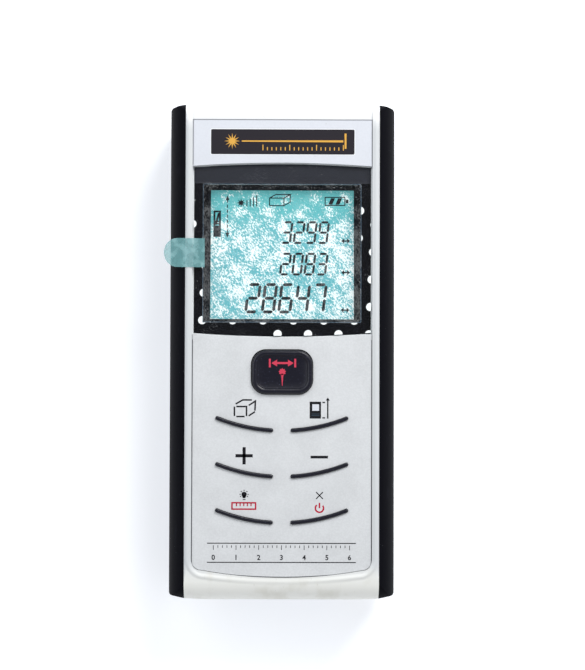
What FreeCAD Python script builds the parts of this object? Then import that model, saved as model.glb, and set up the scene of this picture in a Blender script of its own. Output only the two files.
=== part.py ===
import FreeCAD, Part
import math
import os

import Sketcher

# A pocket laser distance meter: a two-part housing between two rubber grips, a face of two
# printed panels round a display window, seven sprung keys, an optical head behind the nose
# and a battery bay behind a sliding cover.
#
# Frame: millimetres. X is the width, +Y points out of the nose (the end that emits the beam),
# +Z points out of the display. The origin is the middle of the flat back.

SIZES = {
    # housing
    "body_length": 110.0,
    "body_width": 50.0,
    "body_thickness": 26.4,
    "split_height": 13.0,
    "wall": 2.0,
    "tail_round": 6.0,
    "nose_round": 3.0,
    "base_round": 3.0,
    "tail_bow": 0.8,
    "nose_wall": 2.25,
    "nose_setback": 0.75,
    "side_step_base": 5.0,
    "side_step_drop": 3.8,
    "rail_width": 1.55,
    "rail_round": 0.45,
    # grips
    "grip_width": 3.5,
    "grip_wall": 1.8,
    "grip_gap": 0.05,
    "grip_base": 3.2,
    "grip_drop": 0.35,
    "grip_front_rise": 5.6,
    "grip_front_round": 6.5,
    "grip_back_rise": 3.8,
    "grip_back_round": 4.5,
    "grip_end_slope": 0.7,
    "grip_corner": 0.8,
    # face panels and window
    "face_drop": 0.4,
    "panel_thickness": 0.5,
    "panel_gap": 0.12,
    "panel_nose_margin": 3.6,
    "panel_tail_margin": 5.3,
    "panel_tail_bow": 1.6,
    "panel_corner": 2.2,
    "window_thickness": 1.2,
    "window_nose_margin": 13.25,
    "window_length": 38.5,
    "window_bow": 0.75,
    "film_thickness": 0.1,
    "film_margin": 0.25,
    "film_nose_margin": 4.2,
    "tab_width": 6.4,
    "tab_reach": 6.85,
    "tab_lift": 0.07,
    "tab_offset": 0.35,
    # display stack
    "view_width": 35.4,
    "view_length": 30.8,
    "view_shift": 0.7,
    "glass_side_margin": 0.3,
    "glass_end_margin": 1.6,
    "glass_thickness": 2.2,
    "backlight_thickness": 1.9,
    "frame_wall": 0.9,
    "frame_lip": 0.6,
    "stack_gap": 0.1,
    "zebra_width": 2.2,
    "zebra_length": 33.0,
    "gasket_inset": 0.3,
    "gasket_thickness": 0.55,
    # board
    "board_level": 16.4,
    "board_thickness": 1.2,
    "board_side_gap": 1.0,
    "board_tail_margin": 13.0,
    "post_radius": 1.9,
    "post_side": 15.0,
    "post_gap": 0.4,
    "board_hole_gap": 0.1,
    "part_gap": 0.05,
    "board_screw_radius": 0.8,
    "board_screw_head_radius": 1.6,
    "board_screw_head": 1.1,
    "board_screw_length": 4.0,
    # keys
    "key_gap": 0.15,
    "key_travel": 0.6,
    "key_slack": 0.1,
    "key_stop_gap": 0.05,
    "flange_rim": 0.9,
    "flange_thickness": 1.0,
    "plunger_radius": 2.2,
    "key_side": 8.3,
    "measure_width": 13.5,
    "measure_length": 9.75,
    "measure_corner": 3.2,
    "measure_proud": 1.0,
    "measure_rim": 1.15,
    "measure_dish": 0.45,
    "measure_edge": 0.4,
    "measure_offset": 7.75,
    "rib_radius": 38.6,
    "rib_width": 0.9,
    "rib_inner": 1.9,
    "rib_outer": 14.7,
    "rib_proud": 0.6,
    "rib_edge": 0.25,
    "rib_offset": 12.95,
    "row_pitch": 10.15,
    "mat_thickness": 1.0,
    "mat_hole_gap": 0.5,
    "mat_width": 26.0,
    # battery bay and cover
    "cell_radius": 5.25,
    "cell_length": 44.5,
    "cell_pitch": 12.0,
    "cell_base": 2.6,
    "cell_clearance": 0.35,
    "nub_radius": 1.9,
    "nub_length": 0.9,
    "bay_wall": 1.2,
    "bay_ceiling": 1.0,
    "shelf_thickness": 1.2,
    "shelf_bearing": 1.3,
    "contact_thickness": 0.4,
    "contact_width": 8.0,
    "lead_width": 2.0,
    "lead_gap": 0.15,
    "spring_length": 3.0,
    "spring_radius": 2.9,
    "spring_wire": 0.3,
    "spring_turns": 3.5,
    "end_slack": 0.1,
    "cover_plate": 1.9,
    "cover_end_wall": 1.6,
    "cover_gap": 0.15,
    "cover_overhang": 0.2,
    "tongue_width": 1.2,
    "tongue_base": 1.05,
    "tongue_tail_gap": 4.0,
    "tongue_play": 0.1,
    "grip_rib_pitch": 1.9,
    "grip_rib_width": 0.9,
    "grip_rib_depth": 0.5,
    "grip_rib_length": 15.0,
    "grip_rib_offset": 9.0,
    "pad_thickness": 0.5,
    "pad_width": 16.0,
    "pad_margin": 6.0,
    # housing screws
    "boss_side": 17.4,
    "boss_end": 9.0,
    "boss_radius": 2.9,
    "front_boss_radius": 2.4,
    "screw_radius": 1.0,
    "screw_head_radius": 1.95,
    "screw_head": 1.4,
    "screw_length": 14.0,
    "screw_seat": 6.0,
    "screw_gap": 0.2,
    "pilot_gap": 0.03,
    "pilot_depth": 0.4,
    "boss_root": 0.2,
    # optical head
    "axis_level": 10.4,
    "receiver_side": 5.4,
    "emitter_side": 9.2,
    "bezel_width": 31.0,
    "bezel_base": 3.0,
    "bezel_top": 18.8,
    "bezel_setback": 0.6,
    "bezel_rim": 1.0,
    "bezel_step": 0.75,
    "bezel_depth": 1.0,
    "bezel_flange": 0.95,
    "bezel_gap": 0.1,
    "lens_radius": 6.8,
    "lens_edge": 1.7,
    "lens_dome": 1.2,
    "lens_lip": 0.5,
    "aperture_radius": 3.0,
    "exit_window_radius": 3.6,
    "exit_window_thickness": 1.0,
    "head_nose_gap": 0.15,
    "head_length": 32.85,
    "head_front_length": 9.6,
    "head_width": 28.0,
    "head_floor_gap": 0.3,
    "head_top": 18.6,
    "head_roof_gap": 0.2,
    "barrel_radius": 4.0,
    "barrel_bore": 2.9,
    "barrel_length": 17.4,
    "optic_gap": 0.05,
    "collimator_thickness": 1.6,
    "collimator_inset": 2.0,
    "diode_length": 2.6,
    "diode_inset": 0.2,
    "lead_radius": 0.22,
    "lead_pitch": 1.27,
    "sensor_radius": 3.2,
    "sensor_can_radius": 2.4,
    "sensor_can_length": 3.5,
    "sensor_flange": 1.0,
    "filter_thickness": 1.1,
    "sensor_seat": 6.2,
    "tunnel_front_radius": 6.1,
    "tunnel_end_radius": 2.2,
    "optics_board_thickness": 1.2,
    "optics_board_gap": 0.4,
    "optics_board_width": 26.0,
    "head_screw_side": 2.65,
    "head_screw_inset": 6.0,
    "head_screw_seat": 8.0,
    "head_screw_length": 6.2,
    "head_post_top": 5.0,
    "head_post_radius": 2.0,
    # parts under the board
    "buzzer_radius": 5.5,
    "buzzer_height": 4.5,
    "shield_width": 11.0,
    "shield_height": 2.6,
    "shield_wall": 0.3,
    "chip_width": 9.0,
    "chip_height": 1.2,
    "connector_width": 10.0,
    "connector_length": 2.6,
    "connector_height": 1.2,
    "flex_width": 8.0,
    "flex_thickness": 0.2,
    # back
    "label_recess": 0.25,
    "label_thickness": 0.15,
    "label_width": 30.0,
    "label_length": 36.0,
    "label_gap": 0.1,
    "strap_slot_side": 15.2,
    "strap_slot_width": 3.6,
    "strap_slot_height": 2.0,
    "strap_bar": 2.4,
    "strap_block_wall": 1.0,
}

# how far a cutting tool runs past the surface that it opens
OVERRUN = 1.0

doc = FreeCAD.newDocument("LaserDistanceMeter")
sheet = doc.addObject("Spreadsheet::Sheet", "Sizes")
layout_set = doc.addObject("App::VarSet", "Layout")
sub_parts = []


# ---------------------------------------------------------------- sizes that carry their expression


class Dim:
    """A length with both its FreeCAD expression and its present value."""

    def __init__(self, text, value):
        self.text = text
        self.value = value

    @staticmethod
    def of(other):
        return other if isinstance(other, Dim) else Dim(f"{float(other):.6g}", float(other))

    def combined(self, sign, other, value):
        return Dim(f"({self.text} {sign} {other.text})", value)

    def __add__(self, other):
        other = Dim.of(other)
        return self.combined("+", other, self.value + other.value)

    def __sub__(self, other):
        other = Dim.of(other)
        return self.combined("-", other, self.value - other.value)

    def __mul__(self, other):
        other = Dim.of(other)
        return self.combined("*", other, self.value * other.value)

    def __truediv__(self, other):
        other = Dim.of(other)
        return self.combined("/", other, self.value / other.value)

    def __radd__(self, other):
        return Dim.of(other) + self

    def __rsub__(self, other):
        return Dim.of(other) - self

    def __rmul__(self, other):
        return Dim.of(other) * self

    def __neg__(self):
        return Dim(f"(0 - {self.text})", -self.value)

    def root(self):
        return Dim(f"sqrt({self.text})", math.sqrt(self.value))


class Sheet:
    """Gives each aliased cell of the spreadsheet as a Dim."""

    def __getattr__(self, alias):
        return Dim(f"Sizes.{alias}", SIZES[alias])


size = Sheet()


def fill_sheet():
    for row, (alias, value) in enumerate(SIZES.items(), start=1):
        sheet.set(f"A{row}", alias)
        sheet.set(f"B{row}", str(value))
        sheet.setAlias(f"B{row}", alias)
    doc.recompute()


def layout(name, dim):
    """Stores a worked-out place as a named property of the Layout set, and returns it as a Dim."""
    layout_set.addProperty("App::PropertyFloat", name, "Layout")
    layout_set.setExpression(name, dim.text)
    return Dim(f"Layout.{name}", dim.value)


# ---------------------------------------------------------------- solids by Part


def bind(thing, prop, dim):
    thing.setExpression(prop, Dim.of(dim).text)


def place(thing, x, y, z, rotation=None):
    if rotation:
        thing.Placement = FreeCAD.Placement(FreeCAD.Vector(), rotation)
    bind(thing, "Placement.Base.x", x)
    bind(thing, "Placement.Base.y", y)
    bind(thing, "Placement.Base.z", z)


def box(name, x, y, z):
    """A box from its low and high values along X, Y and Z."""
    made = doc.addObject("Part::Box", name)
    for prop, (low, high) in zip(("Length", "Width", "Height"), (x, y, z)):
        bind(made, prop, Dim.of(high) - Dim.of(low))
    place(made, x[0], y[0], z[0])
    return made


AXIS_TURN = {
    "X": FreeCAD.Rotation(FreeCAD.Vector(0, 1, 0), 90),
    "Y": FreeCAD.Rotation(FreeCAD.Vector(1, 0, 0), -90),
    "Z": None,
}


def cylinder(name, radius, axis, span, across):
    """A cylinder along an axis over a span; across is its place on the other two axes."""
    made = doc.addObject("Part::Cylinder", name)
    bind(made, "Radius", radius)
    bind(made, "Height", Dim.of(span[1]) - Dim.of(span[0]))
    corner = list(across)
    corner.insert("XYZ".index(axis), span[0])
    place(made, *corner, rotation=AXIS_TURN[axis])
    return made


def cone(name, radii, span, across):
    """A cone along Y from the first radius to the second."""
    made = doc.addObject("Part::Cone", name)
    bind(made, "Radius1", radii[0])
    bind(made, "Radius2", radii[1])
    bind(made, "Height", Dim.of(span[1]) - Dim.of(span[0]))
    place(made, across[0], span[0], across[1], rotation=AXIS_TURN["Y"])
    return made


def fuse(name, *shapes):
    made = doc.addObject("Part::MultiFuse", name)
    made.Shapes = list(shapes)
    return made


def cut(name, base, *tools):
    tool = tools[0] if len(tools) == 1 else fuse(name + "_tools", *tools)
    made = doc.addObject("Part::Cut", name)
    made.Base = base
    made.Tool = tool
    return made


def common(name, *shapes):
    made = doc.addObject("Part::MultiCommon", name)
    made.Shapes = list(shapes)
    return made


# ---------------------------------------------------------------- bodies by sketch


class Corner:
    """One vertex of an outline, with the arc that leads on to the next vertex, if there is one.

    turn is +1 for an arc that bends to the left, and -1 for one that bends to the right."""

    def __init__(self, x, y, radius=None, turn=1):
        self.x = Dim.of(x)
        self.y = Dim.of(y)
        self.radius = None if radius is None else Dim.of(radius)
        self.turn = turn


class Circle:
    """A round loop in a sketch."""

    def __init__(self, x, y, radius):
        self.x = Dim.of(x)
        self.y = Dim.of(y)
        self.radius = Dim.of(radius)


def pin_point(sketch, item, point, x, y):
    for kind, dim in (("DistanceX", x), ("DistanceY", y)):
        index = sketch.addConstraint(Sketcher.Constraint(kind, item, point, dim.value))
        sketch.setExpression(f"Constraints[{index}]", dim.text)


def fix_radius(sketch, item, radius):
    index = sketch.addConstraint(Sketcher.Constraint("Radius", item, radius.value))
    sketch.setExpression(f"Constraints[{index}]", radius.text)


def draw_circle(sketch, loop):
    centre = FreeCAD.Vector(loop.x.value, loop.y.value, 0)
    item = sketch.addGeometry(Part.Circle(centre, FreeCAD.Vector(0, 0, 1), loop.radius.value))
    pin_point(sketch, item, 3, loop.x, loop.y)
    fix_radius(sketch, item, loop.radius)


def arc_between(start, end, radius, turn):
    """The short arc of that radius from start to end."""
    chord = end - start
    half = chord.Length / 2
    height = math.sqrt(max(radius * radius - half * half, 0.0))
    side = FreeCAD.Vector(-chord.y, chord.x, 0).normalize() * turn
    centre = start + chord * 0.5 + side * height
    first, last = (start, end) if turn > 0 else (end, start)
    angles = [math.atan2(p.y - centre.y, p.x - centre.x) for p in (first, last)]
    circle = Part.Circle(centre, FreeCAD.Vector(0, 0, 1), radius)
    return Part.ArcOfCircle(circle, angles[0], angles[1])


def draw_outline(sketch, corners):
    """A closed outline whose every vertex and arc radius is bound to a size."""
    ends = []
    for number, corner in enumerate(corners):
        after = corners[(number + 1) % len(corners)]
        start = FreeCAD.Vector(corner.x.value, corner.y.value, 0)
        end = FreeCAD.Vector(after.x.value, after.y.value, 0)
        if corner.radius is None:
            item = sketch.addGeometry(Part.LineSegment(start, end))
            ends.append((item, 1, 2))
        else:
            item = sketch.addGeometry(arc_between(start, end, corner.radius.value, corner.turn))
            ends.append((item, 1, 2) if corner.turn > 0 else (item, 2, 1))
    for number, (item, first, last) in enumerate(ends):
        follower, follower_first, _ = ends[(number + 1) % len(ends)]
        sketch.addConstraint(Sketcher.Constraint("Coincident", item, last, follower, follower_first))
        pin_point(sketch, item, first, corners[number].x, corners[number].y)
        if corners[number].radius is not None:
            fix_radius(sketch, item, corners[number].radius)


def add_sketch(body, name, plane, offset, loops):
    """A sketch on one of the body's own origin planes, moved along that plane's normal."""
    sketch = body.newObject("Sketcher::SketchObject", name)
    origin_plane = next(p for p in body.Origin.OriginFeatures if p.Role == plane + "_Plane")
    sketch.AttachmentSupport = [(origin_plane, "")]
    sketch.MapMode = "FlatFace"
    bind(sketch, "AttachmentOffset.Base.z", offset)
    for loop in loops:
        if isinstance(loop, Circle):
            draw_circle(sketch, loop)
        else:
            draw_outline(sketch, loop)
    return sketch


def pad(body, name, plane, loops, span):
    """Adds material over a span along the plane's axis: Z for XY, Y for XZ, X for YZ."""
    low, high = Dim.of(span[0]), Dim.of(span[1])
    offset = -high if plane == "XZ" else low
    sketch = add_sketch(body, name + "_sketch", plane, offset, loops)
    made = body.newObject("PartDesign::Pad", name)
    made.Profile = sketch
    bind(made, "Length", high - low)
    return made


def pocket(body, name, loops, span):
    """Takes away material over a span along Z."""
    low, high = Dim.of(span[0]), Dim.of(span[1])
    sketch = add_sketch(body, name + "_sketch", "XY", high, loops)
    made = body.newObject("PartDesign::Pocket", name)
    made.Profile = sketch
    bind(made, "Length", high - low)
    return made


def new_body(name, base=None):
    body = doc.addObject("PartDesign::Body", name)
    if base is not None:
        body.BaseFeature = base
        doc.recompute()
    return body


def prism(name, plane, loops, span):
    body = new_body(name)
    pad(body, name + "_pad", plane, loops, span)
    return body


def round_edges(body, name, radius, wanted):
    """Fillets the edges of the body's tip that the test picks."""
    doc.recompute()
    tip = body.Tip
    chosen = [f"Edge{i + 1}" for i, edge in enumerate(tip.Shape.Edges) if wanted(edge)]
    made = body.newObject("PartDesign::Fillet", name)
    made.Base = (tip, chosen)
    bind(made, "Radius", radius)
    return made


def sub_part(label, thing):
    """Marks an object as one finished piece; its label names its file."""
    thing.Label = label
    sub_parts.append(thing)
    return thing


# ---------------------------------------------------------------- outlines


def rounded_rectangle(x, y, radius):
    """A rectangle from its low and high values with round corners, anticlockwise."""
    (left, right), (low, high) = x, y
    return [
        Corner(left + radius, low),
        Corner(right - radius, low, radius),
        Corner(right, low + radius),
        Corner(right, high - radius, radius),
        Corner(right - radius, high),
        Corner(left + radius, high, radius),
        Corner(left, high - radius),
        Corner(left, low + radius, radius),
    ]


def rectangle(x, y):
    return [Corner(x[0], y[0]), Corner(x[1], y[0]), Corner(x[1], y[1]), Corner(x[0], y[1])]


def mirrored(right, base_radius=None, base_turn=1):
    """Closes the right half of an outline, listed from low to high, with its mirror image.

    base_radius is the arc that leads from the last left vertex back to the first right one."""
    arcs = [(base_radius, base_turn)] + [(corner.radius, corner.turn) for corner in right[:-1]]
    left = [Corner(-corner.x, corner.y, *arc) for corner, arc in zip(right, arcs)]
    return right + left[::-1]


def side_outline(y, z, tail_front, nose_front, base):
    """The housing seen from the side: round corners of three radii."""
    (tail, nose), (low, high) = y, z
    return [
        Corner(tail + base, low),
        Corner(nose - base, low, base),
        Corner(nose, low + base),
        Corner(nose, high - nose_front, nose_front),
        Corner(nose - nose_front, high),
        Corner(tail + tail_front, high, tail_front),
        Corner(tail, high - tail_front),
        Corner(tail, low + base, base),
    ]


def bow_radius(half_chord, bow):
    return (half_chord * half_chord + bow * bow) / (2 * bow)


def arc_bar(centre, radius, x, half_width):
    """A bar of constant width along a smiling arc, with rounded ends, between two values of X.

    centre is the middle of the arc's circle on the Y axis; both ends lie on the same side of X = 0."""
    near, far = x
    inner, outer = radius - half_width, radius + half_width

    def spot(along, reach):
        drop = (radius * radius - along * along).root()
        return along * reach / radius, centre - drop * reach / radius

    cap = half_width * 1.05
    return [
        Corner(*spot(near, outer), outer),
        Corner(*spot(far, outer), cap),
        Corner(*spot(far, inner), inner, -1),
        Corner(*spot(near, inner), cap),
    ]


# ---------------------------------------------------------------- places shared by the pieces


def lay_out():
    """Works out the places that several pieces share."""
    place_of = {}

    def put(name, dim):
        place_of[name] = layout(name, dim)
        return place_of[name]

    put("half", size.body_width / 2)
    nose = put("nose", size.body_length / 2)
    tail = put("tail", -(size.body_length / 2))
    put("rail_outer", place_of["half"] - size.grip_width)
    put("rail_inner", place_of["rail_outer"] - size.rail_width)
    put("side", place_of["half"] - size.grip_wall)
    put("face", size.body_thickness - size.face_drop)
    put("panel_floor", place_of["face"] - size.panel_thickness)
    put("inner_top", place_of["panel_floor"] - size.wall)
    put("nose_face", nose - size.nose_setback)
    put("cavity_nose", place_of["nose_face"] - size.nose_wall)
    put("cavity_tail", tail + size.wall)
    put("panel_half", place_of["rail_inner"] - size.panel_gap)
    put("panel_tail", tail + size.panel_tail_margin)
    put("panel_nose", nose - size.panel_nose_margin)
    put("window_nose", nose - size.window_nose_margin)
    put("window_tail", place_of["window_nose"] - size.window_length)
    put("view_centre", (place_of["window_nose"] + place_of["window_tail"]) / 2 - size.view_shift)
    put("view_half", size.view_width / 2)
    put("glass_half", place_of["view_half"] + size.glass_side_margin)
    put("glass_reach", size.view_length / 2 + size.glass_end_margin)
    put("frame_half", place_of["glass_half"] + size.frame_wall + size.stack_gap)
    put("frame_reach", place_of["glass_reach"] + size.frame_wall + size.stack_gap)
    put("frame_tail", place_of["view_centre"] - place_of["frame_reach"])
    put("frame_nose", place_of["view_centre"] + place_of["frame_reach"])
    put("board_top", size.board_level + size.board_thickness)
    put("board_tail", tail + size.board_tail_margin)
    put("board_nose", place_of["frame_nose"] + 0.7)
    put("board_half", place_of["rail_outer"] - size.wall - size.board_side_gap)
    put("flange_top", place_of["inner_top"] - size.key_stop_gap)
    put("flange_base", place_of["flange_top"] - size.flange_thickness)
    put("plunger_base", place_of["board_top"] + size.key_travel + size.key_slack)
    put("measure_y", place_of["window_tail"] - size.measure_offset)
    put("first_rib", place_of["measure_y"] - size.rib_offset)
    put("bay_half", size.cell_pitch / 2 + size.cell_radius + size.cell_clearance)
    put("bay_outer", place_of["bay_half"] + size.bay_wall)
    put("cell_level", size.cell_base + size.cell_radius)
    put("bay_roof", size.cell_base + size.cell_radius * 2 + 0.2)
    put("bay_tail", place_of["cavity_tail"] + size.bay_wall)
    put("bay_nose", place_of["bay_tail"] + size.cell_length + size.spring_length
        + 2 * size.contact_thickness + 2 * size.end_slack)
    put("cover_half", place_of["bay_outer"] + size.cover_overhang)
    put("cover_nose", place_of["bay_nose"] + size.bay_wall + size.cover_overhang)
    put("opening_half", place_of["cover_half"] + size.cover_gap)
    put("groove_half", place_of["opening_half"] + size.tongue_width + 0.05)
    put("bezel_face", place_of["nose_face"] - size.bezel_setback)
    put("bezel_back", place_of["cavity_nose"] - size.bezel_depth)
    put("head_nose", place_of["bezel_back"] - size.head_nose_gap)
    put("head_tail", place_of["head_nose"] - size.head_length)
    put("head_base", size.wall + size.head_floor_gap)
    put("head_screw_tail", place_of["head_tail"] + size.head_screw_inset)
    put("head_screw_nose", place_of["head_nose"] - size.head_screw_inset)
    put("barrel_nose", place_of["head_nose"] - 0.25)
    put("barrel_tail", place_of["barrel_nose"] - size.barrel_length)
    doc.recompute()
    return type("Places", (), place_of)


# ---------------------------------------------------------------- housing


def panel_zone(half, tail, nose, corner):
    """The printed area's outline: a bowed tail edge, two round corners and a straight nose edge."""
    right = [
        Corner(half - corner, tail + size.panel_tail_bow, corner),
        Corner(half, tail + size.panel_tail_bow + corner),
        Corner(half, nose),
    ]
    return mirrored(right, bow_radius(half - corner, size.panel_tail_bow))


def window_zone(half, tail, nose):
    """The window's outline: both end edges bow outward."""
    radius = bow_radius(half, size.window_bow)
    right = [Corner(half, tail + size.window_bow), Corner(half, nose - size.window_bow, radius)]
    return mirrored(right, radius)


def side_prism():
    outline = side_outline((at.tail, at.nose), (Dim.of(0), size.body_thickness),
                           size.tail_round, size.nose_round, size.base_round)
    return prism("side_profile", "YZ", [outline], (-at.half, at.half))


def section_prism():
    """The housing's cross-section: its sides step outward between the grip's two lips."""
    step = at.side - at.rail_outer
    top_step = size.body_thickness - size.side_step_drop
    right = [
        Corner(at.rail_outer - size.base_round, 0),
        Corner(at.rail_outer, size.base_round),
        Corner(at.rail_outer, size.side_step_base),
        Corner(at.side, size.side_step_base + step),
        Corner(at.side, top_step - step),
        Corner(at.rail_outer, top_step),
        Corner(at.rail_outer, size.body_thickness - size.rail_round, size.rail_round),
        Corner(at.rail_outer - size.rail_round, size.body_thickness),
    ]
    return prism("section_profile", "XZ", [mirrored(right)], (at.tail, at.nose))


def plan_prism():
    """The housing from above: its tail edge is flat across the cover and falls away beside it."""
    right = [
        Corner(at.cover_half, at.tail, bow_radius(at.half - at.cover_half, size.tail_bow)),
        Corner(at.half, at.tail + size.tail_bow),
        Corner(at.half, at.nose),
    ]
    return prism("plan_profile", "XY", [mirrored(right)], (0, size.body_thickness))


def housing_blank(side_profile):
    solid = common("housing_solid", section_prism(), plan_prism(), side_profile)
    setback = box("nose_setback", (-at.rail_inner, at.rail_inner), (at.nose_face, at.nose + OVERRUN),
                  (-OVERRUN, size.body_thickness + OVERRUN))
    return cut("housing_blank", solid, setback)


def housing_cavity():
    inset = size.wall * 0.4142
    step = at.side - at.rail_outer
    top_step = size.body_thickness - size.side_step_drop
    inner, outer = at.rail_outer - size.wall, at.side - size.wall
    right = [
        Corner(at.rail_outer - size.base_round - inset, size.wall),
        Corner(inner, size.base_round + inset),
        Corner(inner, size.side_step_base + inset),
        Corner(outer, size.side_step_base + step + inset),
        Corner(outer, top_step - step - inset),
        Corner(inner, top_step - inset),
        Corner(inner, at.inner_top),
    ]
    return prism("housing_cavity", "XZ", [mirrored(right)], (at.cavity_tail, at.cavity_nose))


def nose_opening():
    half = size.bezel_width / 2 + size.bezel_gap
    return box("nose_opening", (-half, half), (at.cavity_nose - 0.5, at.nose + OVERRUN),
               (size.bezel_base - size.bezel_gap, size.bezel_top + size.bezel_gap))


def screw_places():
    """The four housing screws, at the same distance from both ends."""
    reach = at.nose - size.boss_end
    return [(across * size.boss_side, along * reach) for across in (-1, 1) for along in (-1, 1)]


def post_places():
    """The four board posts: two behind the display frame, two at the board's tail end."""
    rear = at.frame_tail - size.post_radius - size.post_gap
    front = at.board_tail + size.post_radius + 0.2
    return [(across * size.post_side, along) for across in (-1, 1) for along in (front, rear)]


def face_recesses():
    """The sunk face, the panels' seat, the window's deeper seat and the hole for the display."""
    return [
        prism("face_recess", "XY",
              [panel_zone(at.rail_inner, at.panel_tail - size.panel_gap, at.nose + OVERRUN,
                          size.panel_corner)],
              (at.face, size.body_thickness + OVERRUN)),
        prism("panel_recess", "XY",
              [panel_zone(at.rail_inner, at.panel_tail - size.panel_gap, at.panel_nose + size.panel_gap,
                          size.panel_corner)],
              (at.panel_floor, at.face + 0.5)),
        prism("window_recess", "XY",
              [window_zone(at.rail_inner, at.window_tail - size.panel_gap,
                           at.window_nose + size.panel_gap)],
              (at.face - size.window_thickness, at.panel_floor + 0.5)),
        box("display_opening", (-at.view_half, at.view_half),
            (at.view_centre - size.view_length / 2, at.view_centre + size.view_length / 2),
            (at.inner_top - OVERRUN, at.face)),
    ]


def rib_slots(half_width):
    """The six slots that the function keys' ribs stand in."""
    return [key_bar(row, across, half_width) for row in range(3) for across in (-1, 1)]


def measure_outline(grow):
    """The measure key's outline, grown on every side."""
    half_x, half_y = size.measure_width / 2 + grow, size.measure_length / 2 + grow
    return rounded_rectangle((-half_x, half_x), (at.measure_y - half_y, at.measure_y + half_y),
                             size.measure_corner + grow)


def front_shell(blank, cavity, opening):
    upper = box("upper_half", (-at.half, at.half), (at.tail, at.nose),
                (size.split_height, size.body_thickness))
    skin = cut("front_skin", common("front_blank", blank, upper), cavity, opening, *face_recesses())
    root = at.inner_top + size.boss_root
    boss_pilot = size.screw_radius + size.pilot_gap
    boss_pilot_end = size.screw_seat + size.screw_length + size.pilot_depth
    post_pilot = size.board_screw_radius + size.pilot_gap
    post_pilot_end = size.board_level + size.board_screw_length + size.pilot_depth
    pillars = []
    holes = []
    for spot in screw_places():
        pillars.append(cylinder("front_boss", size.front_boss_radius, "Z", (size.split_height, root), spot))
        holes.append(cylinder("front_pilot", boss_pilot, "Z",
                              (size.split_height - OVERRUN, boss_pilot_end), spot))
    for spot in post_places():
        pillars.append(cylinder("board_post", size.post_radius, "Z", (at.board_top, root), spot))
        holes.append(cylinder("post_pilot", post_pilot, "Z", (at.board_top - OVERRUN, post_pilot_end), spot))
    solid = cut("front_solid", fuse("front_with_posts", skin, *pillars), *holes)
    body = new_body("front_shell_body", solid)
    loops = [measure_outline(size.key_gap)] + rib_slots(size.rib_width / 2 + size.key_gap)
    pocket(body, "key_holes", loops, (at.inner_top - OVERRUN, at.face + OVERRUN))
    return sub_part("front_shell", body)


def bay_box():
    """The battery bay's walls and roof, with the shelf the cover slides under."""
    nose_outer = at.bay_nose + size.bay_wall
    shelf_half = at.groove_half + size.shelf_bearing
    walls = box("bay_walls", (-at.bay_outer, at.bay_outer), (at.cavity_tail, nose_outer),
                (size.wall, at.bay_roof + size.bay_ceiling))
    tail_wall = box("bay_tail_wall", (-shelf_half, shelf_half), (at.cavity_tail, at.bay_tail),
                    (size.wall, size.split_height - 0.2))
    shelf = box("bay_shelf", (-shelf_half, shelf_half),
                (at.cavity_tail, at.cover_nose + size.shelf_bearing),
                (size.wall, size.wall + size.shelf_thickness))
    return [walls, tail_wall, shelf]


def bay_hollows():
    """Everything cut away for the cells, the cover's plate, its tongues and its end wall."""
    gap = size.cover_gap
    plate_top = size.wall
    lead_half = size.lead_width / 2 + size.lead_gap
    hollows = [
        box("bay_inside", (-at.bay_half, at.bay_half), (at.bay_tail, at.bay_nose), (-OVERRUN, at.bay_roof)),
        box("pad_passage", (-at.bay_half, at.bay_half), (at.cavity_tail - OVERRUN, at.bay_tail + OVERRUN),
            (-OVERRUN, size.cell_base)),
        box("cover_opening", (-at.opening_half, at.opening_half), (at.tail - OVERRUN, at.cover_nose + gap),
            (-OVERRUN, plate_top)),
        box("cover_grooves", (-at.groove_half, at.groove_half), (at.tail - OVERRUN, at.cover_nose + gap),
            (size.tongue_base - size.tongue_play, plate_top)),
        box("tail_opening", (-at.opening_half, at.opening_half), (at.tail - OVERRUN, at.cavity_tail),
            (-OVERRUN, size.split_height + OVERRUN)),
    ]
    for across in (-1, 1):
        middle = across * size.cell_pitch / 2
        hollows.append(box("lead_slot", (middle - lead_half, middle + lead_half),
                           (at.bay_nose - size.contact_thickness - size.lead_gap, at.bay_nose),
                           (at.bay_roof - OVERRUN, at.bay_roof + size.bay_ceiling + OVERRUN)))
    return hollows


def strap_places():
    """The strap slots' range along X and the tail edge of the block round them."""
    left = size.strap_slot_side
    return left, left + size.strap_slot_width, at.tail + size.strap_bar


def strap_block():
    left, right, bar = strap_places()
    wall = size.strap_block_wall
    return box("strap_block", (left - wall, right + wall),
               (at.cavity_tail, bar + size.strap_slot_height + wall),
               (size.wall, size.strap_bar + size.strap_slot_height + wall))


def strap_slots():
    left, right, bar = strap_places()
    top = size.strap_bar + size.strap_slot_height
    return [
        box("strap_back_slot", (left, right), (bar, bar + size.strap_slot_height), (-OVERRUN, top)),
        box("strap_tail_slot", (left, right), (at.tail - OVERRUN, bar + 0.5), (size.strap_bar, top)),
    ]


def head_screw_places():
    return [(-size.head_screw_side, at.head_screw_tail), (-size.head_screw_side, at.head_screw_nose)]


def label_zone(grow):
    half = size.label_width / 2 + grow
    tail = at.cover_nose + 7
    return rounded_rectangle((-half, half), (tail - grow, tail + size.label_length + grow), 1 + grow)


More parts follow.
